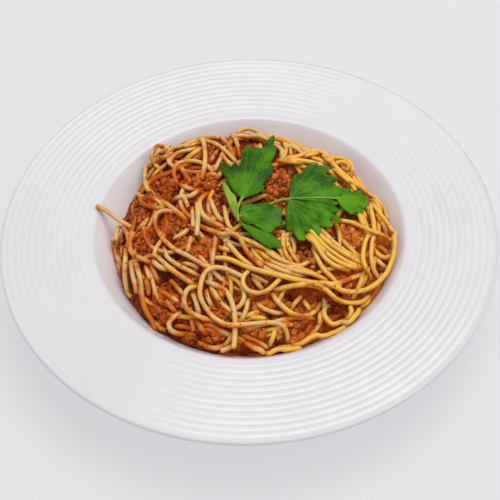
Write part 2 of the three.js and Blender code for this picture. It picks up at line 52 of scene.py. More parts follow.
# Plate, as in the solids, but for its grooves, which are shallower, and its lip, which is rounder.
RIM_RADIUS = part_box("plate")[1].x / MM
RIM_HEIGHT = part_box("plate")[1].z / MM
RIM_EDGE = 1.6
LIP_RADIUS = 94.2
LIP_HEIGHT = 36
LIP_ROUNDING = 2.2
FLOOR_RADIUS = 62
FLOOR_HEIGHT = 8
GROOVE_COUNT = 12
FIRST_GROOVE = 100.4
GROOVE_PITCH = 4.18
GROOVE_DEPTH = 0.45
RIB_FLATNESS = 0.55
WALL_THICKNESS = 5
RIM_THICKNESS = 5
RIM_ROOT = 3
FOOT_OUTER = 60
FOOT_INNER = 55

# The foot ring's edges, as steps out and up from its two sides: on the table, and under the plate.
FOOT_BEVEL = (0.5, 0.4)
OUTER_FILLET = [(1.4, 0), (0.5, -0.8)]
INNER_FILLET = [(-0.6, -0.6), (-2, 0)]

# Radii of the underside's other corners, and how finely the plate is turned: around, and along its
# floor, wall, lip, ribs and edge.
UNDER_RIM = (145.4, 120)
UNDER_WALL = (92.7, 64)
UNDER_FLOOR = 30
PLATE_SECTORS = 200
FLOOR_RINGS = [0, 20, 40, 54]
WALL_RINGS = 22
LIP_RINGS = 7
RINGS_PER_GROOVE = 12
EDGE_RINGS = 13
UNDERSIDE_RINGS = 12

# Heap, as in the solids: the height of its edge on the well's wall every 30 degrees round from +X,
# its crown, how full its form is and how far it stays off the wall. A lowered copy of the form lies
# this share as far below it at its edge as at its crown.
EDGE_HEIGHTS = [28, 25, 24, 27, 32, 22, 20, 22, 23, 20, 20, 27]
CROWN_HEIGHT = 48
FULLNESS = 3
FULLNESS_AT_BACK = 0.9
DISH_GAP = 1
LOWERED_AT_EDGE = 0.8

# Spaghetti: thickness and how much it varies, steps along it, sides of its two layers, how it is
# laid, how far it presses into what lies below, and how its hidden ends go down into the sauce.
STRAND_RADIUS = 1.46
STRAND_SPREAD = 0.08
STRAND_WOBBLE = (0.03, 4)
STRAND_STEP = 1.5
TOP_SIDES = 12
UNDER_SIDES = 8
END_RING = (0.35, 0.72)
END_POLE = 0.144
SAG = 0.03
SOFTNESS = 2
MOST_SUNK = 0.6
PRESSED_IN = 0.45
TUCK_LENGTH = 8
TUCK_DEPTH = 3.2
OFF_DISH = 0.1
CURVE_STEPS = 24

# Spaghetti under the named strands: how many are tried as they fell, how long and how bent they are,
# and their uneven bed: how far below the heap's form, inside its edge and under dark gaps it lies, and
# its bumps, as height, spacing and seed.
LOOSE_TRIES = 320
LOOSE_LENGTH = (55, 150)
LOOSE_BEND = (12, 46)
LOOSE_DEPTH = 7
BED_INSIDE = 1
BED_UNDER_GAP = 0.5
BED_BUMPS = (1.2, 15, 3)

# How they wander: each step, and the shares of the heap's radius within which one starts, beyond
# which it turns back and at which it stops. Elsewhere its bend may change at any step.
WANDER_STEP = 4
WANDER_START = 0.93
WANDER_BACK = 0.8
WANDER_STOP = 0.975
WANDER_TURN = 0.34
WANDER_CHANGE = 0.07
FEWEST_STEPS = 6

# Spaghetti tried along the heap's edge, against the well's wall, which swings in and out a little.
EDGE_TRIES = 150
EDGE_LENGTH = (30, 95)
EDGE_SHARE = (0.84, 0.985)
EDGE_MOST = 0.99
EDGE_SWING = (0.005, 0.05)
EDGE_SWING_LENGTH = 11

# Their ceiling lies this far below the heap's form, and deeper under thick mince and dark gaps. A
# strand is left out if more than a share of it is above the ceiling, or any of it far above.
LOOSE_LIMIT = 1.6
LOOSE_UNDER_MINCE = 2.6
LOOSE_UNDER_GAP = 2
LOOSE_PROUD = 0.15
LOOSE_HIGHEST = 3.5

# The named strands' middle lines lie on average this far above the heap's form. All strands are
# shifted for that, smoothly over this reach, and less where few named ones lie.
STRAND_LIFT = 1.2
SETTLE_REACH = 6
SETTLE_DOUBT = 0.004
SETTLE_EDGE = 2
SHOWN_MARGIN = 0.6

# Seeds of the random draws: laying the strands, and the marks of their two layers.
LAY_SEED = 17
UNDER_SEED = 31
TOP_SEED = 32

# Sauce: how far it stays below the pile's smoothed top and below the named strands, how it follows
# the heap's edge, how fine its mesh is, and its lumps, each as height, spacing and seed.
SAUCE_DEPTH = 1.7
SAUCE_BLUR = 3.2
BELOW_STRANDS = 0.2
SAUCE_RINGS = 128
SAUCE_SECTORS = 600
SAUCE_UNDERSIDE = [0.97, 0.85, 0.5]
SAUCE_THINNEST = 0.5
SAUCE_RIM = 0.15
SAUCE_OFF_DISH = 0.05
SAUCE_EDGE = 85
SAUCE_EDGE_GAP = 0.3
SAUCE_RAGGED = (1.0, 6, 21)
SAUCE_LUMPS = [(1.5, 3.2, 11), (1.2, 1.7, 12)]
SAUCE_SWELL = (0.8, 9, 13)
LUMPS_MIDDLE = 1.4

# Painted shade: sauce is painted darker where the strands lie this far above it, which fades out at
# the heap's edge and is less where it is oily, which begins right of the middle. In dark gaps the
# painted shade is darkest. The sauce is also painted darker towards the heap's upper left.
DEPTH_BLUR = 2
DEPTH_FROM = 1
DEPTH_FULL = 3
DEPTH_EDGE = 6
OILY_FROM = 5
OILY_REACH = 60
OILY_LIGHTER = 0.35
GAP_PAINTED_SHADE = 0.95
CLINGING_DARKER = 0.32

# Sauce clings most at the heap's upper left, and makes mince browner there.
CLINGING_SLANT = 0.6
CLINGING_REACH = 60
CLINGING_LEAST = -0.2
CLINGING_BROWNER = 0.75

# Mince: name, number, sizes, fineness, chance to lie outside the patches, and seed. Where a patch
# heaps up by more than this, sauce and mince cover the named strands. Patches and gaps fade out
# round these shares of their radius.
CRUMBS = [
    ("mince_lumps", 540, (2.8, 4.6), 3, 0.08, 41),
    ("mince", 1300, (1.6, 3.0), 2, 0.2, 43),
    ("mince_bits", 900, (0.7, 1.7), 2, 0.3, 42),
]
HEAPED = 5
PATCH_SIZE = 0.85
GAP_SIZE = 0.8

# Where crumbs are tried, how far they keep inside the heap's edge, how many of the small ones lie on
# strands, how uneven and how stretched they are, and how high they lie.
CRUMBS_WITHIN = 92
CRUMB_INSIDE = 0.6
ON_STRANDS = 0.16
ON_STRAND_SIZE = 0.7
ON_STRAND_SUNK = 0.3
CRUMB_NOISE = 1.3
CRUMB_ROUGHNESS = 0.42
CRUMB_STRETCH = (0.72, 1.25)
CRUMB_RISE = (-0.1, 0.45)
CRUMB_OFF_DISH = 0.6

# Sauce on a strand, 0 to 1: some everywhere, more on some strands, in stretches, where it dips into
# the sauce, on its underside, where sauce clings and where mince lies thick.
STAIN_BASE = 0.1
STAIN_OWN = 0.36
STAIN_STRETCHES = 0.34
STAIN_DIP = 0.5
STAIN_UNDERSIDE = 0.12
STAIN_CLINGING = 0.3
STAIN_MINCE = 0.6
STRETCH_LENGTH = 7
DIP_DEPTH = 2.2

# How golden a strand is, 0 to 1: more to the right, and differently for each.
GOLD_BASE = 0.2
GOLD_RIGHT = 0.7
GOLD_OWN = 0.25
GOLD_FROM = -20
GOLD_REACH = 70

# Patches where mince lies thick: a pixel of the photo, radius, and how high it heaps up there.
PATCHES = [
    ((280, 179), 13, 6.5), ((165, 182), 11, 3.2), ((205, 185), 10, 3.2), ((138, 212), 9, 2.2),
    ((185, 180), 7, 2.6), ((150, 196), 7, 2.0), ((156, 176), 6, 2.0), ((222, 190), 8, 2.4),
    ((141, 240), 8, 1.8), ((152, 230), 7, 1.4), ((172, 223), 9, 2.4), ((203, 245), 8, 1.8),
    ((183, 240), 6, 1.4), ((163, 192), 7, 1.6), ((158, 308), 10, 1.6), ((186, 340), 9, 2.2),
    ((220, 308), 7, 0.8), ((222, 290), 5, 0.4), ((265, 302), 6, 1.2), ((286, 296), 5, 0.4),
    ((298, 328), 9, 2.6), ((314, 301), 7, 1.6), ((212, 332), 7, 1.2), ((254, 342), 7, 1.6),
    ((352, 233), 9, 2.4), ((306, 254), 7, 1.0), ((340, 316), 5, 0.6), ((345, 276), 6, 0.8),
    ((165, 290), 7, 1.0), ((210, 150), 5, 0.8), ((238, 150), 6, 0.8), ((312, 178), 9, 1.4),
    ((382, 246), 5, 0.4),
]

# Gaps between strands where the sauce lies deep and is also painted dark, as shade: a pixel of the photo and
# radius.
GAPS = [
    ((172, 193), 6), ((182, 175), 4), ((256, 246), 4), ((272, 254), 5), ((301, 243), 10), ((303, 256), 7),
    ((333, 308), 6), ((319, 296), 4), ((162, 191), 4), ((141, 221), 4), ((135, 249), 3), ((168, 290), 4),
    ((288, 294), 4), ((258, 277), 3), ((190, 233), 4),
    ((173, 254), 4), ((185, 286), 4), ((165, 271), 4), ((243, 235), 5), ((336, 238), 6), ((250, 190), 7),
    ((207, 303), 3), ((268, 309), 3), ((177, 326), 4),
]
GAP_DEPTH = 3.2

# Strands as the photo shows them, lowest first, read off its 500 x 500 pixels: x and y in
# turn, along each. CUT marks an end that shows. The other ends go down into the sauce.
CUT = "cut"
STRANDS = [
    # Short lengths that come up out of the sauce.
    [119, 226, 115, 230, 113.5, 238, 114, 247, 117, 257, 121, 264],
    [148, 219, 144, 224, 139, 229],
    [189, 228, 183, 234, 174, 239],
    [218, 248, 228, 250, 236, 252],
    [CUT, 166, 301, 171, 307, 176, 313],
    [192, 293, 196, 302, 199, 314],
    [213, 290, 217, 297, 221, 302],
    [183, 264, 192, 265, 200, 270],
    [313, 322, 308, 329, 305, 335],
    [303, 299, 306, 304, 310, 311],
    [250, 318, 258, 318, 266, 319],
    [251, 276, 257, 283, 262, 289],
    [320, 310, 319.5, 326],
    # Left edge.
    [150, 160, 146, 166, 145, 174, 148, 190, 152, 193],
    [126, 250, 125, 275, 128, 293, 131, 297],
    [131, 262, 133, 276, 137, 292],
    [144, 262, 147, 270, 150, 280],
    [151, 266, 155, 274, 158, 282],
    [146, 280, 148, 288, 149, 296],
    # Top left.
    [178, 188, 174, 171, 177, 165, 183, 162, 194, 161, 206, 165, 214, 174],
    [CUT, 182, 169, 190, 182, 192, 186],
    [198, 172, 199, 180, 200, 187],
    [179, 184, 187, 188, 199, 191],
    [173, 201, 180, 197, 190, 196, 200, 190],
    [170, 163, 172, 158, 178, 153, 186, 151, 200, 148],
    [185, 161, 190, 156, 201, 149],
    [163, 149, 172, 148, 192, 145, 206, 142],
    [
        162, 171, 155, 164, 151, 155, 152, 149.5, 157, 146, 163, 146.5, 167.5, 150, 167, 155.5,
        162, 158, 157, 157,
    ],
    [152, 159, 158, 153, 166, 151, 174, 149],
    [150, 166, 156, 160, 164, 158, 172, 153],
    [219, 149, 214, 156, 210, 163],
    [223, 153, 219, 162, 215, 171],
    [203, 141, 210, 142, 222, 148, 236, 162],
    [198, 141, 201, 139, 204, 144, 205, 162, 202, 179, CUT],
    [215, 180, 221, 174, 228, 171],
    # Back and top right.
    [221, 137, 228, 145, 234, 157],
    [231, 134, 236, 141, 240, 158],
    [238, 134, 242, 130, 248, 128.5, 254, 130, 260, 135, 276, 147],
    [247, 138, 255, 136, 262, 137, 270, 141],
    [272, 139, 279, 140, 286, 144, 290, 149],
    [284, 143, 286, 149, 284, 156, 280, 161],
    [272, 146, 278, 147, 282, 151, 281, 157],
    [297, 156, 305, 156, 320, 153],
    [285, 159, 296, 157, 312, 151.5, 319, 151, 325, 154, 336, 166],
    [278, 161, 290, 162, 303, 163],
    [328, 159, 336, 158, 344, 159, 350, 163, 352, 169, 352, 175],
    [335, 165, 341, 162, 347, 164, 349, 169, 345, 171],
    [323, 156, 340, 171, 358, 187],
    [333, 169, 341, 175, 350, 183],
    # Left half.
    [141, 196, 142, 203, 148, 206, 165, 209],
    [161, 201, 168, 205, 187, 221],
    [184, 198, 187, 204, 188, 210],
    [209, 193, 204, 196, 200, 201, 200, 208, 204, 216, 223, 228],
    [210, 199, 217, 215, 222, 222],
    [224, 205, 228, 224, 232, 230],
    [192, 206, 193, 215, 193, 226, CUT],
    [197, 204, 198, 215, 197, 235, CUT],
    [124, 227, 127, 234, 129, 242, 129, 248],
    [134, 233, 131, 239, 130, 246, 132, 253, 138, 257, 151, 263],
    [153, 261, 158, 266, 165, 269, 171, 269],
    [158, 258, 172, 270, 194, 285],
    [164, 246, 165, 252, 169, 259, 200, 277],
    [191, 238, 189, 245, 187, 254],
    [
        173, 213, 169, 211, 164, 211, 158, 213, 155, 219, 155.5, 226, 160, 234, 167, 243,
        176, 250, 189, 256.5, 201, 263.5, 208, 268,
    ],
    [136, 263, 141, 283, 144, 305, 156, 329, CUT],
    [155, 322, 160, 328, 167, 331],
    [216, 236, 213, 255, 212, 264],
    [CUT, 171, 281, 181, 292, 186, 298],
    # The thick bundle across the middle.
    [224, 239, 242, 259, 262, 273],
    [284, 232, 283, 242, 285, 252, 290, 261, 296, 267],
    [287, 238, 289, 248, 300, 266],
    [226, 230, 236, 236, 260, 246, 281, 259],
    [266, 251, 277, 258, 299, 266, 309, 262, 318, 261],
    [250, 256, 268, 268, 290, 277, 302, 280],
    [254, 262, 275, 273, 299, 279],
    [255, 249, 273, 262, 285, 267, 297, 268, 328, 281],
    [262, 262, 284, 271, 309, 278],
    [286, 269, 300, 271.5, 312, 274, 322, 278, 334, 284],
    [199, 226, 222, 234, 230, 233, 238, 236, 247, 251, 264, 269],
    [215, 258, 228, 259, 250, 268, 303, 281, 333, 284, 344, 281, 363, 274],
    # Right side.
    [313, 249, 322, 267, 336, 282],
    [342, 240, 350, 248, 356, 255, 361, 258],
    [316, 224, 331, 240, 339, 247, 349, 254, 361, 260],
    [312, 225, 320, 235, 330, 243.5, 341, 251.5, 352, 258, 362, 264],
    [308, 226, 316, 237, 326, 247, 336, 254.5, 347, 261.5, 361, 268],
    [306, 232, 315, 241, 325, 252, 333, 258.5, 343, 264, 357, 269],
    [306, 237, 315, 243, 320, 251, 325, 258, 333, 264.5, 342, 268.5, 350, 271],
    [270, 291, 306, 285, 328, 291, 338, 297],
    [301, 282, 312, 284.5, 326, 287, 340, 286],
    [374, 249, 378, 254.5, 384, 258, 391, 258.5],
    [377, 260, 382, 265, 386, 269],
    [377, 246, 382, 248.5, 386, 253],
    [357, 210, 361, 219, 364, 228],
    [376, 213, 381, 222, 387, 233],
    [370, 206, 374, 228, 371, 255, 374, 271, 379, 280],
    [372, 232, 366, 240, 363, 260, 366, 270, 371, 278],
    [350, 223, 383, 236, 391, 240, 395, 236, 391, 229, 380, 214, 370, 201],
    [336, 304, 344, 307, 352, 308, 360, 307, 367, 302.5, 371, 296],
    [322, 286, 330, 294, 338, 300, 350, 303, 361, 302, 369, 296],
    [393, 240, 394, 252, 391, 264, 385, 275, 376, 284, 365, 290, 352, 292, 340, 290, 320, 283],
    # Front edge.
    [266, 352, 280, 349, 300, 344, 320, 336.5, 340, 330, 352, 325],
    [262, 353, 270, 353.5, 283, 351, 300, 347.5],
    [240, 334, 259, 343, 267, 348],
    [246, 343, 254, 348, 263, 353],
    [275, 329, 273, 337, 270, 345],
    [350, 307, 351.5, 312, 350, 317, 345, 321, 338, 322],
    [330, 303, 325, 308, 324, 314, 327, 320, 333, 324.5, 340, 326, 348, 324, 355, 318, 359, 310],
    [181, 313, 174, 317, 169, 323, 170, 329, 176, 333, 184, 334, 192, 332],
    [192, 319, 193, 326, 194, 333],
    [196, 320, 201, 328, 208, 336],
    [200, 341, 206, 346, 214, 348, 222, 347, 228, 342, 236, 327],
    [CUT, 222, 354, 227, 350, 232, 346],
    # The loops in front, which lie on top.
    [197, 287, 190, 288, 186, 292, 184, 298, 185, 305, 190, 312, 206, 320],
    [207, 288, 207, 295, 210, 303, 215, 310],
    [204, 281, 221, 288, 228, 294, 234, 311, 235, 333, 234, 354, CUT],
    [225, 275, 236, 280, 243, 289, 244, 298, 240, 306, 235, 309],
    [248, 300, 246, 310, 240, 324],
    [256, 301, 261, 307, 276, 313, 284, 313],
    [303, 290, 300, 297, 290, 309],
    [272, 294, 277, 301, 291, 313, 300, 316, 309, 315, 316, 310, 321, 303],
    [249, 271, 244, 276, 243, 283, 246, 289, 252, 292, 260, 293, 268, 290, 275, 284, 280, 279],
    [
        243, 277, 222, 268, 212, 268, 205, 273, 200, 290, 201, 299, 211, 315, 219, 321,
        228, 325, 275, 323, 283, 326, 287, 333, 288, 342,
    ],
]

# One strand sticks out over the well's wall: pixels of the photo, and its height over the table.
STRAY = [(97, 206, 38), (106, 210.5, 37.6), (118, 219.5, 36.8), (131, 227, 35.5)]

# Parsley leaflets, as in the solids but for the tips of left_upper and left_folded: the base, then the
# lobes side by side, each as its direction in degrees, its length from the base and its half width in
# degrees. After that come the leaflet's wave and its finish.
LEAFLETS = [
    (
        "left_upper", (-3, 9),
        [
            (112, 34, 12), (98, 30, 14), (84, 46, 12), (76, 46, 12), (69, 60, 7), (65, 50, 12),
            (56, 34, 16), (42, 18, 24),
        ],
        1.4, "face",
    ),
    (
        "left_oval", (-5, -2),
        [(44, 12, 40), (18, 22, 34), (-2, 26, 30), (-16, 27, 26), (-34, 24, 24), (-56, 12, 26)],
        1.1, "face",
    ),
    ("left_folded", (-6, -8), [(104, 34, 9), (102, 26, 15)], 0.7, "back"),
    ("left_small", (-5, -9), [(-35, 31, 14), (-45, 27, 18)], 0.8, "bright"),
    (
        "right_upper", (25, 8),
        [(74, 25, 12), (61, 40, 14), (49, 41, 15), (32, 36, 20), (14, 35, 22), (-4, 30, 14)],
        1.5, "face",
    ),
    (
        "right_lower", (25, 7),
        [
            (4, 28, 14), (-12, 31, 16), (-28, 35, 16), (-42, 33, 14), (-56, 31, 14), (-66, 26, 12),
            (-79, 32, 16), (-92, 24, 16),
        ],
        1.5, "fresh",
    ),
    (
        "right_far", (54, 9),
        [(80, 9, 40), (50, 16, 26), (32, 21, 20), (14, 22, 20), (-6, 20, 20), (-26, 18, 24), (-48, 15, 28)],
        1.0, "fresh",
    ),
]

# Stems: the sprig, points on the plan, and the radius. All run at one height over the leaves' bed.
STEMS = [
    ("left", [(-3, 11), (-6, 2), (-6, -8)], 0.75), ("left", [(-6, -4), (-1, -5)], 0.7),
    ("right", [(13, 4), (19, 7), (26, 8)], 0.75), ("right", [(25, 8), (40, 9), (55, 9)], 0.5),
]
STEM_LIFT = 0.75
STEM_STEP = 0.8
STEM_SIDES = 12

# The leaves' bed bridges hollows over this reach and lies at least so high over the heap's form.
LEAF_REACH = 3
LEAF_BRIDGE = 2.6
LEAF_CLEARANCE = 0.5
LEAF_THICKNESS = 0.45
LEAF_STEP = 0.9
BASE_SUNK = 0.3

# A leaf's lobes are this blunt, and it ends at this share of an outer lobe's half width. Its edge
# has teeth, which fade out at its two ends.
LOBE_BLUNTNESS = 2.2
LOBE_END = 0.93
TOOTH_PITCH = 4.0
TOOTH_DEPTH = 1.5
TOOTH_ROUNDNESS = 0.8
TOOTH_FADE = 10

# A leaf waves round its base, buckles in two sizes, each as height and spacing, and curls down
# towards its edge.
WAVE_TURNS = 5.2
WAVE_SLANT = 0.11
LARGE_BUCKLES = (1.4, 9)
SMALL_BUCKLES = (0.5, 3.4)
CURL_FROM = 0.72
CURL_DEPTH = 10.4

# Lobes that are long enough beside the longest one have a main vein, a little shorter than they are.
# Side veins leave it at even steps and a slant, and are fainter and finer.
VEINED_LOBE = 0.6
VEIN_LENGTH = 0.96
VEIN_WIDTH = (0.34, 0.69)
VEIN_GROOVE = 0.45
BASE_VEIN = 0.6
STEM_VEIN = 0.5
SIDE_VEIN_PITCH = 4.6
SIDE_VEIN_SLANT = 1.5
SIDE_VEIN_REACH = 9
SIDE_VEIN_WIDTH = 0.26
SIDE_VEIN_STRENGTH = 0.55
SIDE_VEIN_STRETCH = 0.55

# Light: the sky's strength at the horizon and overhead and its colour, and two lamps, each with its
# place, width, power and colour, that look at the heap.
SKY_AT_HORIZON = 0.42
SKY_OVERHEAD = 0.72
SKY_COLOUR = (1, 0.99, 1, 1)
LAMPS = [
    ("key", (220, 260, 1300), 1000, 8.6, (1, 0.985, 0.96)),
    ("fill", (900, -600, 1000), 900, 1.8, (1, 0.98, 0.97)),
]
LAMP_AIM = (0, 0, 20)
FLOOR_HALF = 4000
FLOOR_GLOW = 2.0

# Camera: what it looks at, from how far, how high above the horizon and how far it leans.
CAMERA_TARGET = (0.3, 11.1, 0)
CAMERA_DISTANCE = 640.2
CAMERA_ELEVATION = 51.18
CAMERA_ROLL = -2.18
CAMERA_LENS = 71.3
CAMERA_NEAREST = 10
SENSOR_WIDTH = 36
PHOTO_SIZE = 500

# Where a sight line meets the heap is looked for in steps this long, from over its crown downward.
# In front it may also meet the wall, up to this far outside the heap's edge, and elsewhere it has to
# come this far inside the edge.
SIGHT_STEP = 0.1
SIGHT_ABOVE = 4
SIGHT_BELOW = 34
SIGHT_OUTSIDE = 5
SIGHT_INSIDE = 1.5

# A line that only passes over the heap lifts its strand there, by this much at most. Once laid, a
# strand slides along its sight lines to its real height, for at most this much of a difference.
HIGHEST_ARCH = 8
MOST_SLID = 4


def rgb(red, green, blue):
    """A screen colour, 0 to 255, as the linear colour that a shader takes."""
    def linear(value):
        share = value / 255
        return share / 12.92 if share <= 0.04045 else ((share + 0.055) / 1.055) ** 2.4
    return (linear(red), linear(green), linear(blue), 1)


PORCELAIN = rgb(222, 221, 225)
PORCELAIN_GREY = rgb(218, 217, 221)
# Painted light: the glaze inside the well, lighter and cooler to brighten its shaded wall.
PORCELAIN_WELL_PAINTED_LIGHT = rgb(240, 241, 246)
PASTA_PALE = rgb(222, 184, 122)
PASTA_GOLD = rgb(236, 186, 74)
PASTA_STAIN = rgb(206, 108, 4)
PASTA_SPOT = rgb(160, 66, 8)
# Strand sides: partly sauce that collects there, partly painted shade.
PASTA_SIDE_SAUCE_AND_SHADE = rgb(212, 124, 12)
PASTA_COAT = rgb(186, 88, 10)
SAUCE_DARK = rgb(92, 16, 0)
SAUCE_RED = rgb(184, 66, 2)
SAUCE_OIL = rgb(232, 122, 4)
# Painted highlight: pale spots laid over the sauce and mince in place of glints of light.
SAUCE_PAINTED_HIGHLIGHT = rgb(238, 174, 100)
MINCE_BROWN = rgb(170, 68, 4)
MINCE_PALE = rgb(228, 146, 62)
LEAF_DARK = rgb(12, 56, 0)
LEAF_LIGHT = rgb(74, 130, 0)
LEAF_FRESH = rgb(26, 80, 0)
LEAF_BRIGHT = rgb(86, 142, 0)
LEAF_YOUNG = rgb(54, 106, 0)
LEAF_YOUNG_LIGHT = rgb(68, 120, 0)
LEAF_BACK = rgb(158, 178, 66)
LEAF_VEIN = rgb(112, 164, 50)
STEM_GREEN = rgb(104, 162, 40)
FLOOR_PAPER = rgb(139, 138, 140)

# Noise repeats after so many bumps. NOWHERE is a height below all others, where nothing lies.
NOISE_SIZE = 128
NOWHERE = -100.0


def eased(share):
    return share * share * (3 - 2 * share)


def between(grid, left, right, low, high, u, v):
    """A grid's value at the share u of the way from column left to right, and v from row low to high."""
    lower = grid[low, left] * (1 - u) + grid[low, right] * u
    upper = grid[high, left] * (1 - u) + grid[high, right] * u
    return lower * (1 - v) + upper * v


def value_noise(x, y, spacing, seed):
    """Smooth random heights from -1 to 1, with about one bump every spacing millimetres."""
    lattice = np.random.default_rng(seed).uniform(-1, 1, (NOISE_SIZE, NOISE_SIZE))
    u, v = np.asarray(x) / spacing, np.asarray(y) / spacing
    i, j = np.floor(u).astype(int), np.floor(v).astype(int)
    sides = i % NOISE_SIZE, (i + 1) % NOISE_SIZE, j % NOISE_SIZE, (j + 1) % NOISE_SIZE
    return between(lattice, *sides, eased(u - i), eased(v - j))


def pebbles(x, y, spacing, seed):
    """Heights from 0 to 1 of rounded lumps packed side by side, one every spacing millimetres."""
    shift = np.random.default_rng(seed).uniform(0, 1, (3, NOISE_SIZE, NOISE_SIZE))
    u, v = np.asarray(x) / spacing, np.asarray(y) / spacing
    column, row = np.floor(u).astype(int), np.floor(v).astype(int)
    best = np.zeros_like(u)
    for down in (-1, 0, 1):
        for across in (-1, 0, 1):
            i, j = (column + across) % NOISE_SIZE, (row + down) % NOISE_SIZE
            dx = column + across + shift[0, j, i] - u
            dy = row + down + shift[1, j, i] - v
            reach = 0.55 + 0.4 * shift[2, j, i]
            best = np.maximum(best, reach * np.sqrt(np.clip(1 - (dx * dx + dy * dy) / reach ** 2, 0, 1)))
    return best


def well_height(radius):
    up = np.clip((radius - FLOOR_RADIUS) / (LIP_RADIUS - FLOOR_RADIUS), 0, None)
    return FLOOR_HEIGHT + (LIP_HEIGHT - FLOOR_HEIGHT) * up * up


def well_radius(height):
    up = np.sqrt(np.clip((height - FLOOR_HEIGHT) / (LIP_HEIGHT - FLOOR_HEIGHT), 0, None))
    return FLOOR_RADIUS + (LIP_RADIUS - FLOOR_RADIUS) * up


def rim_height(radius):
    return LIP_HEIGHT + (RIM_HEIGHT - LIP_HEIGHT) * (radius - LIP_RADIUS) / (RIM_RADIUS - LIP_RADIUS)


def dish_height(radius):
    return np.where(radius < LIP_RADIUS, well_height(np.minimum(radius, LIP_RADIUS)), rim_height(radius))


def edge_height(angle):
    heights = np.array(EDGE_HEIGHTS, float)
    place = (np.asarray(angle) / TURN % 1) * len(heights)
    before = np.floor(place).astype(int) % len(heights)
    share = eased(place - np.floor(place))
    return heights[before] * (1 - share) + heights[(before + 1) % len(heights)] * share


def edge_radius(angle):
    return well_radius(edge_height(angle)) - DISH_GAP


def past_edge(x, y):
    """How far outside the heap's edge a place is."""
    return np.hypot(x, y) - edge_radius(np.arctan2(y, x))


def heap_height(x, y, below=0.0):
    """The heap's form, or a surface that lies that far below its crown and less far at its edge."""
    angle, radius = np.arctan2(y, x), np.hypot(x, y)
    low = edge_height(angle) - LOWERED_AT_EDGE * below
    share = np.clip(radius / (edge_radius(angle) - LOWERED_AT_EDGE * below), 0, 1)
    fullness = FULLNESS + FULLNESS_AT_BACK * np.sin(angle)
    return low + (CROWN_HEIGHT - below - low) * np.sqrt(1 - share ** fullness)


def top_height(x, y):
    """The height of the heap's form, and beside it of the dish."""
    return np.where(past_edge(x, y) < 0, heap_height(x, y), dish_height(np.hypot(x, y)))


def lowest_middle(x, y, radius):
    """How low the middle line of a strand can lie, just over the dish."""
    return dish_height(np.hypot(x, y)) + radius + OFF_DISH


def camera_axes():
    """The camera's right, up and backward directions, and where it stands."""
    rise, roll = math.radians(CAMERA_ELEVATION), math.radians(CAMERA_ROLL)
    back = np.array((0, -math.cos(rise), math.sin(rise)))
    level, upward = np.array((1, 0, 0)), np.array((0, math.sin(rise), math.cos(rise)))
    right = level * math.cos(roll) + upward * math.sin(roll)
    up = upward * math.cos(roll) - level * math.sin(roll)
    return right, up, back, np.array(CAMERA_TARGET) + back * CAMERA_DISTANCE


def sight_lines(pixels):
    """The camera's place, and the directions in which it sees pixels of the photo."""
    right, up, back, eye = camera_axes()
    across, down = (np.array(pixels, float) - PHOTO_SIZE / 2).T[:, :, None]
    focal = PHOTO_SIZE * CAMERA_LENS / SENSOR_WIDTH
    return eye, across / focal * right - down / focal * up - back


def on_heap(pixels):
    """Where the sight lines through pixels of the photo meet the heap: plan, and height over it.

    In front, a line may meet the wall beside the heap instead. One that passes over the heap is given
    the place where it comes nearest to it.
    """
    eye, ray = sight_lines(pixels)
    z = np.arange(CROWN_HEIGHT + SIGHT_ABOVE, CROWN_HEIGHT - SIGHT_BELOW, -SIGHT_STEP)
    travel = (z - eye[2]) / ray[:, 2:]
    x, y = eye[0] + travel * ray[:, :1], eye[1] + travel * ray[:, 1:2]
    near = past_edge(x, y) < np.where(y < 0, SIGHT_OUTSIDE, -SIGHT_INSIDE)
    gap = np.where(near, z - top_height(x, y) - STRAND_LIFT, np.inf)
    met = gap <= 0
    found = np.where(met.any(1), met.argmax(1), gap.argmin(1))
    row = np.arange(len(found))
    return np.stack([x[row, found], y[row, found], np.clip(gap[row, found], 0, HIGHEST_ARCH)], 1)


def at_height(seen):
    """Where the sight lines through pixels of the photo reach the given heights."""
    seen = np.array(seen, float)
    eye, ray = sight_lines(seen[:, :2])
    return eye + (seen[:, 2:] - eye[2]) / ray[:, 2:] * ray


# The pile: the top of all that lies on the plate so far, on a fine grid.
CELL = 0.5
PILE_HALF = 110
AXIS = np.arange(-PILE_HALF, PILE_HALF + CELL / 2, CELL)
GRID_X, GRID_Y = np.meshgrid(AXIS, AXIS)
GRID_RADIUS = np.hypot(GRID_X, GRID_Y)


def blur(grid, reach):
    """Gaussian blur of a grid, by reach millimetres."""
    cells = int(3 * reach / CELL)
    weights = np.exp(-0.5 * (np.arange(-cells, cells + 1) * CELL / reach) ** 2)
    weights /= weights.sum()
    padded = np.pad(grid, cells, mode="edge")
    rows = sum(w * padded[i:i + grid.shape[0], :] for i, w in enumerate(weights))
    return sum(w * rows[:, i:i + grid.shape[1]] for i, w in enumerate(weights))


def grid_at(grid, x, y):
    """A grid's value between its points."""
    u = np.clip((np.asarray(x) + PILE_HALF) / CELL, 0, grid.shape[1] - 1.001)
    v = np.clip((np.asarray(y) + PILE_HALF) / CELL, 0, grid.shape[0] - 1.001)
    i, j = u.astype(int), v.astype(int)
    return between(grid, i, i + 1, j, j + 1, u - i, v - j)


def nearest_cell(x, y):
    """Row and column of the grid cell nearest to a place."""
    return tuple(np.round((np.asarray(v) + PILE_HALF) / CELL).astype(int) for v in (y, x))


def ball_cells(x, y, radius):
    """Grid cells under balls of that radius at x, y, and the ball's half height over each."""
    reach = math.ceil(radius / CELL)
    near = np.arange(-reach, reach + 1)
    row, column = (cell[:, None, None] for cell in nearest_cell(x, y))
    row, column = np.broadcast_arrays(row + near[:, None], column + near)
    dx = column * CELL - PILE_HALF - x[:, None, None]
    dy = row * CELL - PILE_HALF - y[:, None, None]
    squared = radius * radius - dx * dx - dy * dy
    return row, column, np.where(squared > 0, np.sqrt(np.maximum(squared, 0)), NOWHERE)


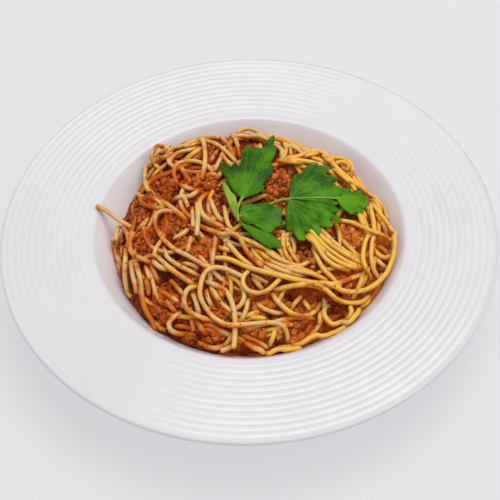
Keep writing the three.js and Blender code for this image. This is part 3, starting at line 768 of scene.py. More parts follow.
def smooth_path(points, step):
    """Points a step apart along a smooth curve through the given ones, and how far along it they are."""
    given = np.array(points, float)
    if len(given) == 2:
        given = np.array([given[0], given.mean(0), given[1]])
    ends = np.vstack([2 * given[0] - given[1], given, 2 * given[-1] - given[-2]])
    dense = []
    for i in range(1, len(ends) - 2):
        a, b, c, d = ends[i - 1:i + 3]
        gaps = [max(1e-6, math.sqrt(np.linalg.norm(q - p))) for p, q in ((a, b), (b, c), (c, d))]
        t0, t1, t2, t3 = np.cumsum([0] + gaps)
        t = np.linspace(t1, t2, CURVE_STEPS, endpoint=False)[:, None]
        ab = (t1 - t) / (t1 - t0) * a + (t - t0) / (t1 - t0) * b
        bc = (t2 - t) / (t2 - t1) * b + (t - t1) / (t2 - t1) * c
        cd = (t3 - t) / (t3 - t2) * c + (t - t2) / (t3 - t2) * d
        abc = (t2 - t) / (t2 - t0) * ab + (t - t0) / (t2 - t0) * bc
        bcd = (t3 - t) / (t3 - t1) * bc + (t - t1) / (t3 - t1) * cd
        dense.append((t2 - t) / (t2 - t1) * abc + (t - t1) / (t2 - t1) * bcd)
    dense = np.vstack(dense + [given[-1:]])
    along = np.concatenate([[0], np.cumsum(np.linalg.norm(np.diff(dense, axis=0), axis=1))])
    places = np.linspace(0, along[-1], max(4, int(round(along[-1] / step))) + 1)
    return np.stack([np.interp(places, along, column) for column in dense.T], 1), places


def hang(along, rest):
    """The lowest line over the rests that sags between them no more than a limp strand does."""
    bow = 0.5 * SAG * along ** 2
    hull = []
    for point in zip(along, rest - bow):
        while len(hull) > 1:
            (x0, z0), (x1, z1) = hull[-2:]
            if (z1 - z0) * (point[0] - x0) > (point[1] - z0) * (x1 - x0):
                break
            hull.pop()
        hull.append(point)
    return np.interp(along, *np.array(hull).T) + bow


def soften(values, along):
    """Values smoothed along a strand, because it is too stiff for a kink."""
    gaps = along[:, None] - along[None, :]
    weights = np.exp(-0.5 * (gaps / SOFTNESS) ** 2)
    return (weights @ values) / weights.sum(1)


def lay(pile, points, radius, free=(False, False), ceiling=None):
    """Lays a strand on the pile and returns its middle line, or None where it would lie too high."""
    flat, along = smooth_path(points, STRAND_STEP)
    x, y = flat.T[:2]
    row, column, rise = ball_cells(x, y, radius)
    rest = (pile[row, column] + rise).max((1, 2))
    z = np.maximum(soften(hang(along, rest), along), rest - MOST_SUNK)
    if ceiling is not None:
        over = z - grid_at(ceiling, x, y)
        if np.mean(over > 0) > LOOSE_PROUD or over.max() > LOOSE_HIGHEST:
            return None
    top = np.where(rise > 0, z[:, None, None] + rise - PRESSED_IN, NOWHERE)
    np.maximum.at(pile, (row, column), top)
    from_start = np.where(free[0], np.inf, along)
    from_end = np.where(free[1], np.inf, along[-1] - along)
    tuck = np.clip(1 - np.minimum(from_start, from_end) / min(TUCK_LENGTH, along[-1] / 3), 0, 1)
    z = np.maximum(lowest_middle(x, y, radius), z - TUCK_DEPTH * tuck ** 2)
    return np.stack([x, y, z], 1)


def new_bend(random):
    return random.choice([-1, 1]) / random.uniform(*LOOSE_BEND)


def loose_points(random):
    """A strand as it fell: it winds one way and then the other, and turns back at the wall."""
    angle = random.uniform(0, TURN)
    radius = WANDER_START * edge_radius(angle) * math.sqrt(random.uniform())
    x, y = radius * math.cos(angle), radius * math.sin(angle)
    heading, bend = random.uniform(0, TURN), new_bend(random)
    points = [(x, y)]
    for _ in range(int(random.uniform(*LOOSE_LENGTH) / WANDER_STEP)):
        out = math.hypot(x, y) / edge_radius(math.atan2(y, x))
        away = heading - math.atan2(y, x)
        if out > WANDER_BACK and math.cos(away) > -0.1:
            heading += WANDER_TURN * (1 if math.sin(away) > 0 else -1)
        elif random.uniform() < WANDER_CHANGE:
            bend = new_bend(random)
        heading += bend * WANDER_STEP
        x, y = x + WANDER_STEP * math.cos(heading), y + WANDER_STEP * math.sin(heading)
        if math.hypot(x, y) > WANDER_STOP * edge_radius(math.atan2(y, x)):
            break
        points.append((x, y))
    return points


def edge_points(random):
    """A strand that lies along the heap's edge."""
    angle, share = random.uniform(0, TURN), random.uniform(*EDGE_SHARE)
    length, way = random.uniform(*EDGE_LENGTH), random.choice([-1, 1])
    swing, phase = random.uniform(*EDGE_SWING), random.uniform(0, TURN)
    points = []
    for gone in np.arange(0, length, WANDER_STEP):
        out = min(EDGE_MOST, share + swing * math.sin(phase + gone / EDGE_SWING_LENGTH))
        radius = out * edge_radius(angle)
        points.append((radius * math.cos(angle), radius * math.sin(angle)))
        angle += way * WANDER_STEP / radius
    return points


def ring_faces(rings, sides, start=0):
    """Faces of a closed body: between its rings of corners, and round the two poles that follow them."""
    row, here = start + np.arange(rings - 1)[:, None] * sides, np.arange(sides)
    there = (here + 1) % sides
    quads = np.stack([row + here, row + sides + here, row + sides + there, row + there], -1)
    last, pole = start + (rings - 1) * sides, start + rings * sides
    fans = [(pole, start + k, start + (k + 1) % sides) for k in range(sides)]
    fans += [(pole + 1, last + (k + 1) % sides, last + k) for k in range(sides)]
    return quads.reshape(-1, 4).tolist() + fans


def tube(line, radii, sides, start=0):
    """Corners and faces of a closed round tube, and how far up its ring each corner is, -1 to 1."""
    tangent = np.gradient(line, axis=0)
    tangent /= np.linalg.norm(tangent, axis=1)[:, None]
    side = np.cross(tangent, (0, 0, 1))
    side /= np.maximum(1e-6, np.linalg.norm(side, axis=1))[:, None]
    up = np.cross(side, tangent)
    # Each end is drawn in over one more ring and a pole.
    length, width = END_RING
    outward = np.array([-tangent[0] * radii[0], tangent[-1] * radii[-1]])
    ends = line[[0, -1]] + outward * length
    line = np.vstack([ends[:1], line, ends[1:]])
    side, up = (np.vstack([v[:1], v, v[-1:]]) for v in (side, up))
    radii = np.concatenate([[radii[0] * width], radii, [radii[-1] * width]])
    angle = (np.arange(sides) / sides * TURN)[:, None]
    ring = np.cos(angle) * side[:, None] + np.sin(angle) * up[:, None]
    corners = (line[:, None] + radii[:, None, None] * ring).reshape(-1, 3)
    upward = np.append(np.tile(np.sin(angle[:, 0]), len(line)), [0, 0])
    return np.vstack([corners, ends + outward * END_POLE]), ring_faces(len(line), sides, start), upward


def add_object(name, data):
    thing = bpy.data.objects.new(name, data)
    bpy.context.scene.collection.objects.link(thing)
    return thing


def make_object(name, corners, faces, material, node, slot, **marks):
    """A mesh object from corners in millimetres, which rides on the body and stands for its node."""
    mesh = bpy.data.meshes.new(name)
    mesh.from_pydata((np.asarray(corners) * MM).tolist(), [], faces)
    mesh.validate()
    mesh.shade_smooth()
    for key, value in marks.items():
        attribute = mesh.attributes.new(key, "FLOAT", "POINT")
        attribute.data.foreach_set("value", np.asarray(value, np.float32))
    mesh.materials.append(material)
    piece = add_object(name, mesh)
    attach(piece, "root")
    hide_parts(node)


# Materials. Each is a Principled shader whose colour, roughness and bump come from noise.
class Finish:
    """A material with a base colour that later ones are laid over, and calls that add its nodes."""

    def __init__(self, name, body, **values):
        self.material = bpy.data.materials.new(name)
        self.material.use_nodes = True
        self.tree = self.material.node_tree
        self.shader = self.tree.nodes["Principled BSDF"]
        self.place = self.add("ShaderNodeTexCoord").outputs["Object"]
        self.body = body
        self.fill(self.shader, **values)

    def add(self, kind, **values):
        node = self.tree.nodes.new(kind)
        self.fill(node, **values)
        return node

    def fill(self, node, **values):
        """Joins a node's sockets to others or gives them values, by their names with _ for spaces."""
        for key, value in values.items():
            self.link(value, node.inputs[key.replace("_", " ")])

    def link(self, value, socket):
        if hasattr(value, "is_output"):
            self.tree.links.new(value, socket)
        else:
            socket.default_value = value

    def noise(self, scale, detail=3.0, roughness=0.5, distortion=0.0):
        """Noise with about scale bumps in a metre."""
        node = self.add("ShaderNodeTexNoise", Vector=self.place, Scale=scale, Detail=detail)
        self.fill(node, Roughness=roughness, Distortion=distortion)
        return node.outputs["Fac"]

    def cells(self, scale):
        return self.add("ShaderNodeTexVoronoi", Vector=self.place, Scale=scale).outputs["Distance"]

    def attribute(self, name):
        node = self.add("ShaderNodeAttribute")
        node.attribute_name = name
        return node.outputs["Fac"]

    def ranged(self, value, low, high, to_low=0.0, to_high=1.0):
        """A value smoothly brought from one range to another."""
        node = self.add("ShaderNodeMapRange")
        node.interpolation_type = "SMOOTHSTEP"
        self.fill(node, Value=value, From_Min=low, From_Max=high, To_Min=to_low, To_Max=to_high)
        return node.outputs["Result"]

    def maths(self, operation, first, second):
        node = self.add("ShaderNodeMath")
        node.operation = operation
        node.use_clamp = True
        self.link(first, node.inputs[0])
        self.link(second, node.inputs[1])
        return node.outputs[0]

    def plus(self, first, second):
        return self.maths("ADD", first, second)

    def times(self, value, share):
        return self.maths("MULTIPLY", value, share)

    def over(self, colour, amount):
        """Lays a colour over what is there so far."""
        node = self.add("ShaderNodeMix")
        node.data_type = "RGBA"
        self.fill(node, Factor=amount, A=self.body, B=colour)
        self.body = node.outputs["Result"]

    def done(self, roughness, height, distance, strength):
        """Gives the shader its colour, roughness and bump, and returns the material."""
        bump = self.add("ShaderNodeBump", Distance=distance * MM, Strength=strength, Height=height)
        self.fill(self.shader, Base_Color=self.body, Roughness=roughness, Normal=bump.outputs["Normal"])
        return self.material


def porcelain_finish():
    finish = Finish("porcelain", PORCELAIN, Specular_IOR_Level=0.5)
    finish.over(PORCELAIN_GREY, finish.ranged(finish.noise(14, 4), 0.3, 0.7))
    # Painted light: inside the well the glaze is painted lighter and cooler.
    finish.over(PORCELAIN_WELL_PAINTED_LIGHT, finish.attribute("well"))
    roughness = finish.ranged(finish.noise(60, 4), 0.3, 0.7, 0.16, 0.26)
    return finish.done(roughness, finish.noise(260, 2), 0.02, 0.4)


def pasta_finish():
    finish = Finish(
        "pasta", PASTA_PALE, Specular_IOR_Level=0.28,
        Subsurface_Weight=0.12, Subsurface_Radius=(1.0, 0.6, 0.25), Subsurface_Scale=1.2 * MM,
    )
    yellow = finish.ranged(finish.noise(85, 3, 0.55), 0.42, 0.6, -0.25, 0.45)
    finish.over(PASTA_GOLD, finish.plus(finish.attribute("gold"), yellow))
    blotch = finish.ranged(finish.noise(210, 5, 0.62, 0.6), 0.5, 0.68)
    fine = finish.ranged(finish.noise(700, 3, 0.6), 0.45, 0.7)
    coat = finish.plus(finish.attribute("stain"), finish.times(blotch, 0.45))
    coat = finish.plus(coat, finish.times(fine, 0.12))
    # Each strand's sides are painted more orange than its crest: partly sauce that collects there, partly
    # painted shade.
    finish.over(PASTA_SIDE_SAUCE_AND_SHADE, finish.ranged(finish.attribute("crest"), 0.3, 0.95, 0.8, 0.0))
    finish.over(PASTA_STAIN, finish.ranged(coat, 0.25, 0.85))
    spots = finish.ranged(finish.noise(430, 4, 0.7), 0.6, 0.76)
    finish.over(PASTA_SPOT, finish.times(spots, 0.35))
    finish.over(PASTA_COAT, finish.ranged(coat, 0.8, 1.0, 0.0, 0.85))
    roughness = finish.ranged(finish.noise(300, 3), 0.3, 0.7, 0.22, 0.4)
    return finish.done(roughness, finish.noise(900, 3), 0.12, 0.5)


def add_painted_hollow_shade(finish, strength):
    """Painted shade of hollows: dark places a centimetre or so apart, which sauce and mince share."""
    finish.over(SAUCE_DARK, finish.ranged(finish.noise(95, 3, 0.55), 0.52, 0.64, 0.0, strength))


def sauce_finish():
    finish = Finish("meat_sauce", SAUCE_RED, Specular_IOR_Level=0.12)
    lumps = finish.cells(330)
    meat = finish.ranged(finish.noise(260, 5, 0.6, 0.4), 0.4, 0.62)
    oil = finish.ranged(finish.noise(120, 4, 0.6), 0.52, 0.68)
    finish.over(SAUCE_DARK, finish.ranged(lumps, 0.0, 0.6))
    finish.over(MINCE_BROWN, finish.times(meat, 0.6))
    finish.over(SAUCE_OIL, finish.times(oil, 0.55))
    finish.over(SAUCE_OIL, finish.times(finish.attribute("oily"), 0.26))
    # Painted shade under the strands and in the dark gaps.
    finish.over(SAUCE_DARK, finish.ranged(finish.attribute("depth"), 0.2, 1.0, 0.0, 0.85))
    add_painted_hollow_shade(finish, 0.7)
    # Painted highlights: small pale spots in place of glints of light on the wet sauce.
    finish.over(SAUCE_PAINTED_HIGHLIGHT, finish.ranged(finish.noise(800, 2, 0.5), 0.62, 0.74, 0.0, 0.5))
    roughness = finish.ranged(finish.noise(400, 3), 0.3, 0.7, 0.24, 0.5)
    return finish.done(roughness, finish.plus(finish.noise(420, 4, 0.6), lumps), 0.5, 0.7)


def mince_finish():
    finish = Finish("mince", MINCE_BROWN, Specular_IOR_Level=0.15)
    finish.over(MINCE_PALE, finish.attribute("own"))
    wet = finish.ranged(finish.noise(170, 4, 0.6), 0.42, 0.64)
    finish.over(SAUCE_RED, finish.times(wet, 0.5))
    oil = finish.ranged(finish.noise(130, 3, 0.6), 0.55, 0.66)
    finish.over(SAUCE_OIL, finish.times(oil, 0.65))
    add_painted_hollow_shade(finish, 0.55)
    grain = finish.cells(650)
    finish.over(SAUCE_DARK, finish.ranged(grain, 0.4, 0.85, 0.0, 0.35))
    # Painted highlights: small pale spots in place of glints of light on the mince.
    finish.over(SAUCE_PAINTED_HIGHLIGHT, finish.ranged(finish.noise(620, 2, 0.5), 0.58, 0.7, 0.0, 0.75))
    roughness = finish.ranged(finish.noise(500, 2), 0.3, 0.7, 0.18, 0.4)
    return finish.done(roughness, finish.plus(finish.noise(600, 3, 0.6), grain), 0.3, 0.5)


def leaf_finish(name, dark, light):
    finish = Finish(name, dark, Specular_IOR_Level=0.11)
    finish.over(light, finish.ranged(finish.noise(62, 3, 0.5), 0.36, 0.64))
    finish.over(light, finish.ranged(finish.noise(1100, 3, 0.6), 0.35, 0.7, 0.0, 0.35))
    finish.over(LEAF_VEIN, finish.times(finish.attribute("vein"), 0.4))
    roughness = finish.ranged(finish.noise(350, 3), 0.3, 0.7, 0.2, 0.36)
    return finish.done(roughness, finish.plus(finish.cells(420), finish.noise(1400, 2)), 0.3, 0.6)


def floor_finish():
    """Plain pale paper that glows a little, as in an evenly lit studio."""
    return Finish(
        "studio_floor", FLOOR_PAPER, Base_Color=FLOOR_PAPER, Roughness=0.9, Specular_IOR_Level=0.1,
        Emission_Color=FLOOR_PAPER, Emission_Strength=FLOOR_GLOW,
    ).material


# Plate.
def plate_profile():
    """Radius and height from the middle of the top round the rim's edge to the middle underneath."""
    top = [(r, FLOOR_HEIGHT) for r in FLOOR_RINGS]
    wall = np.linspace(FLOOR_RADIUS, LIP_RADIUS - LIP_ROUNDING, WALL_RINGS)
    top += [(r, float(well_height(r))) for r in wall]
    # The lip is a curve that starts along the wall and ends along the rim.
    lip_end = LIP_RADIUS + LIP_ROUNDING
    before, corner = np.array(top[-1]), np.array((LIP_RADIUS, LIP_HEIGHT))
    after = np.array((lip_end, rim_height(lip_end)))
    for t in np.linspace(0.14, 1, LIP_RINGS):
        top.append(tuple((1 - t) ** 2 * before + 2 * t * (1 - t) * corner + t * t * after))
    half = GROOVE_COUNT - 0.5
    ribs = np.linspace(lip_end + 1, FIRST_GROOVE + half * GROOVE_PITCH, RINGS_PER_GROOVE * GROOVE_COUNT)
    for radius in ribs:
        turn = (radius - FIRST_GROOVE) / GROOVE_PITCH
        crest = abs(math.sin(math.pi * turn)) ** RIB_FLATNESS
        fade = np.clip(turn + 0.5, 0, 1) if turn < 0.5 else np.clip((half - turn) * 2, 0, 1)
        top.append((radius, float(rim_height(radius) - GROOVE_DEPTH * (1 - crest) * fade)))
    inner, middle = RIM_RADIUS - RIM_EDGE, RIM_HEIGHT - RIM_EDGE
    turns = np.linspace(0, math.pi, EDGE_RINGS)
    edge = [(inner + RIM_EDGE * math.sin(a), middle + RIM_EDGE * math.cos(a)) for a in turns]
    outer, halfway = UNDER_RIM
    root = LIP_RADIUS + WALL_THICKNESS + RIM_ROOT
    under = [(outer, RIM_HEIGHT - RIM_THICKNESS)]
    under += [(r, rim_height(r) - RIM_THICKNESS) for r in (halfway, root)]
    for radius in np.linspace(*UNDER_WALL, UNDERSIDE_RINGS):
        slope = 2 * (LIP_HEIGHT - FLOOR_HEIGHT) * (radius - FLOOR_RADIUS) / (LIP_RADIUS - FLOOR_RADIUS) ** 2
        out = WALL_THICKNESS / math.hypot(slope, 1)
        under.append((radius + slope * out, float(well_height(radius)) - out))
    low = FLOOR_HEIGHT - WALL_THICKNESS
    bevel, rise = FOOT_BEVEL
    foot = [(FOOT_OUTER + out, low + up) for out, up in OUTER_FILLET]
    foot += [(FOOT_OUTER, rise), (FOOT_OUTER - bevel, 0), (FOOT_INNER + bevel, 0), (FOOT_INNER, rise)]
    foot += [(FOOT_INNER + out, low + up) for out, up in INNER_FILLET]
    return top + edge + under + foot + [(UNDER_FLOOR, low), (0, low)]


def lathe(profile, sectors):
    """Corners and faces of a closed turned body whose profile starts and ends on the axis."""
    radius, height = np.array(profile[1:-1], float).T[:, :, None]
    angle = np.arange(sectors) / sectors * TURN
    rings = np.stack([radius * np.cos(angle), radius * np.sin(angle), height + 0 * angle], -1)
    poles = [[0, 0, profile[0][1]], [0, 0, profile[-1][1]]]
    return np.vstack([rings.reshape(-1, 3), poles]), ring_faces(len(radius), sectors)


def make_plate():
    corners, faces = lathe(plate_profile(), PLATE_SECTORS)
    # Inside the well the glaze is painted lighter and cooler: painted light on its shaded wall,
    # which also cancels the warm light that the food bounces onto it.
    well = np.clip((LIP_RADIUS - np.hypot(corners[:, 0], corners[:, 1])) / LIP_ROUNDING, 0, 1)
    make_object("porcelain_plate", corners, faces, porcelain_finish(), "plate", "porcelain", well=well)


# Heap: strands first, because the sauce and the mince lie between and on them.
def spot_shares(spots, x, y, size, power):
    """How much a place belongs to each of the photo's spots, 0 to 1."""
    for (middle_x, middle_y, _), spot in zip(on_heap([spot[0] for spot in spots]), spots):
        away = np.hypot(x - middle_x, y - middle_y) / (size * spot[1])
        yield np.exp(-away ** power)


def patch_weight(x, y):
    """How much mince lies at a place, 0 to 1, and how high it heaps."""
    shares = list(spot_shares(PATCHES, x, y, PATCH_SIZE, 3))
    lifts = [rise * share for (_, _, rise), share in zip(PATCHES, shares)]
    return np.maximum.reduce(shares), np.maximum.reduce(lifts)


def gap_weight(x, y):
    """How much a place belongs to a dark gap, 0 to 1."""
    return np.maximum.reduce(list(spot_shares(GAPS, x, y, GAP_SIZE, 2)))


def clinging(x, y):
    """How much more sauce clings at a place: most at the heap's upper left."""
    return np.clip((CLINGING_SLANT * np.maximum(y, 0) - x) / CLINGING_REACH, CLINGING_LEAST, 1)


def some_radius(random):
    return STRAND_RADIUS * (1 + STRAND_SPREAD * random.uniform(-1, 1))


def settle(strands, named, pile):
    """Shifts all strands smoothly up or down, so that the named ones lie at the heap's form."""
    count, total = np.zeros_like(pile), np.zeros_like(pile)
    for line, _ in named:
        x, y, z = line.T
        cells = nearest_cell(x, y)
        np.add.at(count, cells, 1)
        np.add.at(total, cells, z - heap_height(x, y) - STRAND_LIFT)
    shift = blur(total, SETTLE_REACH) / (blur(count, SETTLE_REACH) + SETTLE_DOUBT)
    shift *= np.clip((SETTLE_EDGE - past_edge(GRID_X, GRID_Y)) / (2 * SETTLE_EDGE), 0, 1)
    for line, radius in strands:
        x, y, z = line.T
        line[:, 2] = np.maximum(z - grid_at(shift, x, y), lowest_middle(x, y, radius))
    return np.maximum(pile - shift, dish_height(GRID_RADIUS))


def slide_in_sight(line, path):
    """Slides a strand's points along their sight lines, to where they meet its real height."""
    eye = camera_axes()[3]
    x, y, rise = path.T
    seen = top_height(x, y) + STRAND_LIFT + rise
    share = np.clip(line[:, 2] - seen, -MOST_SLID, MOST_SLID) / (eye[2] - seen)
    line[:, 0] += share * (eye[0] - x)
    line[:, 1] += share * (eye[1] - y)
    line[:, 2] = np.maximum(line[:, 2], lowest_middle(line[:, 0], line[:, 1], STRAND_RADIUS))


def lay_strands(weight):
    """The loose and the named strands, the pile they make, and the named strands' own height."""
    height, spacing, seed = BED_BUMPS
    gaps = GAP_DEPTH * gap_weight(GRID_X, GRID_Y)
    bed = heap_height(GRID_X, GRID_Y, LOOSE_DEPTH) + height * value_noise(GRID_X, GRID_Y, spacing, seed)
    dish = dish_height(GRID_RADIUS)
    inside = past_edge(GRID_X, GRID_Y) < -BED_INSIDE
    pile = np.where(inside, np.maximum(dish, bed - BED_UNDER_GAP * gaps), dish)
    ceiling = heap_height(GRID_X, GRID_Y) - LOOSE_LIMIT
    ceiling -= LOOSE_UNDER_MINCE * weight + LOOSE_UNDER_GAP * gaps
    random = np.random.default_rng(LAY_SEED)
    tries = EDGE_TRIES + LOOSE_TRIES
    loose = []
    for _ in range(tries):
        along_edge = random.uniform() < EDGE_TRIES / tries
        points = edge_points(random) if along_edge else loose_points(random)
        radius = some_radius(random)
        line = lay(pile, points, radius, ceiling=ceiling) if len(points) > FEWEST_STEPS else None
        if line is not None:
            loose.append((line, radius))
    named, paths = [], []
    for marks in STRANDS:
        points = on_heap(np.reshape([mark for mark in marks if mark != CUT], (-1, 2)))
        radius = some_radius(random)
        free = (marks[0] == CUT, marks[-1] == CUT)
        named.append((lay(pile, points, radius, free), radius))
        paths.append(smooth_path(points, STRAND_STEP)[0])
    pile = settle(loose + named, named, pile)
    for (line, _), path in zip(named, paths):
        line[:, 2] += path[:, 2]
        slide_in_sight(line, path)
    named.append((smooth_path(at_height(STRAY), STRAND_STEP)[0], STRAND_RADIUS))
    shown = np.full_like(pile, NOWHERE)
    for line, radius in named:
        row, column, rise = ball_cells(line[:, 0], line[:, 1], radius + SHOWN_MARGIN)
        np.maximum.at(shown, (row, column), np.where(rise > 0, line[:, 2][:, None, None], NOWHERE))
    return loose, named, pile, shown


def sauce_top(pile, shown, weight, lift):
    """The sauce's height: it fills the gaps, heaps up in the patches and leaves named strands bare."""
    height, spacing, seed = SAUCE_SWELL
    lumps = sum(high * pebbles(GRID_X, GRID_Y, wide, start) for high, wide, start in SAUCE_LUMPS)
    lumps = lumps + height * value_noise(GRID_X, GRID_Y, spacing, seed) - LUMPS_MIDDLE
    gaps = GAP_DEPTH * gap_weight(GRID_X, GRID_Y)
    sauce = blur(pile, SAUCE_BLUR) - SAUCE_DEPTH + lift - gaps + (0.5 + 0.5 * weight) * lumps
    bare = (shown > 0) & (lift < HEAPED)
    return np.where(bare, np.minimum(sauce, shown - BELOW_STRANDS), sauce)


def strand_mesh(name, strands, sauce, weight, sides, finish, seed):
    """All strands of one layer as one mesh, with how stained, golden and near its crest each place is."""
    random = np.random.default_rng(seed)
    depth, length = STRAND_WOBBLE
    corners, faces, stain, gold, crest = [], [], [], [], []
    start = 0
    for line, radius in strands:
        places = np.arange(len(line)) * STRAND_STEP
        wobble = 1 + depth * value_noise(places, np.full(len(line), 9.0 * start), length, seed)
        points, more, up = tube(line, radius * wobble, sides, start)
        x, y, z = points.T
        own = random.uniform(0, 1)
        stretches = value_noise(x + 31 * own, y, STRETCH_LENGTH, seed + 1)
        dip = np.clip(1 - (z - grid_at(sauce, x, y)) / DIP_DEPTH, 0, 1)
        value = STAIN_BASE + STAIN_OWN * own ** 2 + STAIN_STRETCHES * stretches + STAIN_DIP * dip
        value += STAIN_CLINGING * clinging(x, y) + STAIN_MINCE * grid_at(weight, x, y)
        value -= STAIN_UNDERSIDE * up
        right = np.clip((x - GOLD_FROM) / GOLD_REACH, 0, 1)
        golden = GOLD_BASE + GOLD_RIGHT * right + GOLD_OWN * random.uniform(-1, 1)
        corners.append(points)
        faces += more
        stain.append(np.clip(value, 0, 1))
        crest.append(np.clip(0.5 + 0.5 * up, 0, 1))
        gold.append(np.clip(golden, 0, 1))
        start += len(points)
    make_object(
        name, np.vstack(corners), faces, finish, "spaghetti_heap", "pasta_and_sauce",
        stain=np.concatenate(stain), gold=np.concatenate(gold), crest=np.concatenate(crest),
    )


def make_sauce(pile, sauce):
    """One closed body of sauce: its rough top, and its underside on the well."""
    angle = np.arange(SAUCE_SECTORS) / SAUCE_SECTORS * TURN
    size, spacing, seed = SAUCE_RAGGED
    ragged = size * value_noise(SAUCE_EDGE * np.cos(angle), SAUCE_EDGE * np.sin(angle), spacing, seed)
    shares = np.append(np.linspace(0, 1, SAUCE_RINGS + 1)[1:], SAUCE_UNDERSIDE)[:, None]
    radius = shares * (edge_radius(angle) - SAUCE_EDGE_GAP + ragged)
    x, y = radius * np.cos(angle), radius * np.sin(angle)
    dish = dish_height(radius)
    z = np.maximum(grid_at(sauce, x, y), dish + SAUCE_THINNEST)
    z[SAUCE_RINGS - 1] = dish[SAUCE_RINGS - 1] + SAUCE_RIM
    z[SAUCE_RINGS:] = dish[SAUCE_RINGS:] + SAUCE_OFF_DISH
    poles = [[0, 0, float(grid_at(sauce, 0, 0))], [0, 0, FLOOR_HEIGHT + SAUCE_OFF_DISH]]
    corners = np.vstack([np.stack([x, y, z], -1).reshape(-1, 3), poles])
    x, y, z = corners.T
    # Painted shade for the sauce, under the strands and in the dark gaps.
    covered = grid_at(blur(pile, DEPTH_BLUR), x, y) - z
    oily = np.clip((x - OILY_FROM) / OILY_REACH, 0, 1)
    depth = np.clip((covered - DEPTH_FROM) / DEPTH_FULL, 0, 1) * np.clip(-past_edge(x, y) / DEPTH_EDGE, 0, 1)
    depth = np.maximum(depth * (1 - OILY_LIGHTER * oily), GAP_PAINTED_SHADE * gap_weight(x, y))
    depth = np.clip(depth + CLINGING_DARKER * np.clip(clinging(x, y), 0, 1), 0, 1)
    make_object(
        "meat_sauce", corners, ring_faces(len(shares), SAUCE_SECTORS), sauce_finish(),
        "spaghetti_heap", "pasta_and_sauce", depth=depth, oily=oily,
    )


def unit_ball(fineness):
    """Corners and faces of a unit ball, from a subdivided icosahedron."""
    ball = bmesh.new()
    bmesh.ops.create_icosphere(ball, subdivisions=fineness, radius=1)
    corners = np.array([v.co[:] for v in ball.verts])
    faces = np.array([[v.index for v in f.verts] for f in ball.faces])
    ball.free()
    return corners, faces


def make_crumbs(kind, sauce, shown, weight, finish):
    """Crumbs of mince, most of them in the patches, half sunk in the sauce."""
    name, count, sizes, fineness, spread, seed = kind
    random = np.random.default_rng(seed)
    ball, ball_faces = unit_ball(fineness)
    corners, faces, own = [], [], []
    while len(corners) < count:
        angle, radius = random.uniform(0, TURN), CRUMBS_WITHIN * math.sqrt(random.uniform())
        x, y = radius * math.cos(angle), radius * math.sin(angle)
        size = random.uniform(*sizes) / 2
        kept = random.uniform() < spread + (1 - spread) * grid_at(weight, x, y)
        if radius + CRUMB_INSIDE * size > edge_radius(angle) or not kept:
            continue
        strand_top = float(shown[nearest_cell(x, y)])
        on_strand = strand_top > 0
        if on_strand and (size > ON_STRAND_SIZE or random.uniform() > ON_STRANDS):
            continue
        shift = random.uniform(-50, 50, 3)
        bumps = np.array([noise.fractal(Vector(c * CRUMB_NOISE + shift), 0.8, 2.1, 3) for c in ball])
        shape = ball * (1 + CRUMB_ROUGHNESS * bumps)[:, None]
        shape = shape * size * random.uniform(*CRUMB_STRETCH, 3)
        turn = Matrix.Rotation(random.uniform(0, TURN), 3, Vector(random.normal(size=3)).normalized())
        height = max(float(grid_at(sauce, x, y)), float(dish_height(radius)) + CRUMB_OFF_DISH)
        if on_strand:
            height = strand_top + STRAND_RADIUS - ON_STRAND_SUNK
        faces.append(ball_faces + len(corners) * len(ball))
        corners.append(shape @ np.array(turn) + (x, y, height + size * random.uniform(*CRUMB_RISE)))
        own.append(np.full(len(ball), random.uniform() * (1 - CLINGING_BROWNER * max(0, clinging(x, y)))))
    make_object(
        name, np.vstack(corners), np.vstack(faces).tolist(), finish, "spaghetti_heap", "pasta_and_sauce",
        own=np.concatenate(own),
    )


def make_heap():
    weight, lift = patch_weight(GRID_X, GRID_Y)
    loose, named, pile, shown = lay_strands(weight)
    sauce = sauce_top(pile, shown, weight, lift)
    pasta, mince = pasta_finish(), mince_finish()
    strand_mesh("spaghetti_under", loose, sauce, weight, UNDER_SIDES, pasta, UNDER_SEED)
    strand_mesh("spaghetti_top", named, sauce, weight, TOP_SIDES, pasta, TOP_SEED)
    make_sauce(pile, sauce)
    bare = np.where(lift < HEAPED, shown, NOWHERE)
    for kind in CRUMBS:
        make_crumbs(kind, sauce, bare, weight, mince)
    return np.maximum(pile, sauce)


# Parsley.
def leaf_outline(lobes):
    """Directions and lengths all along a leaflet's edge, with small teeth."""
    tips, longest, widths = np.array(lobes, float).T
    span = np.radians([tips[-1] - LOBE_END * widths[-1], tips[0] + LOBE_END * widths[0]])
    directions = np.linspace(*span, int((span[1] - span[0]) * longest.max() / LEAF_STEP))
    aside = np.abs(np.degrees(directions)[:, None] - tips) / widths
    lengths = (longest * (1 - np.minimum(aside, 1) ** LOBE_BLUNTNESS)).max(1)
    along = np.cumsum(np.hypot(np.gradient(lengths), np.gradient(directions) * lengths))
    teeth = 1 - np.abs(np.sin(math.pi * along / TOOTH_PITCH)) ** TOOTH_ROUNDNESS
    ends = np.clip(np.minimum(along, along[-1] - along) / TOOTH_FADE, 0, 1)
    return directions, lengths - TOOTH_DEPTH * teeth * ends


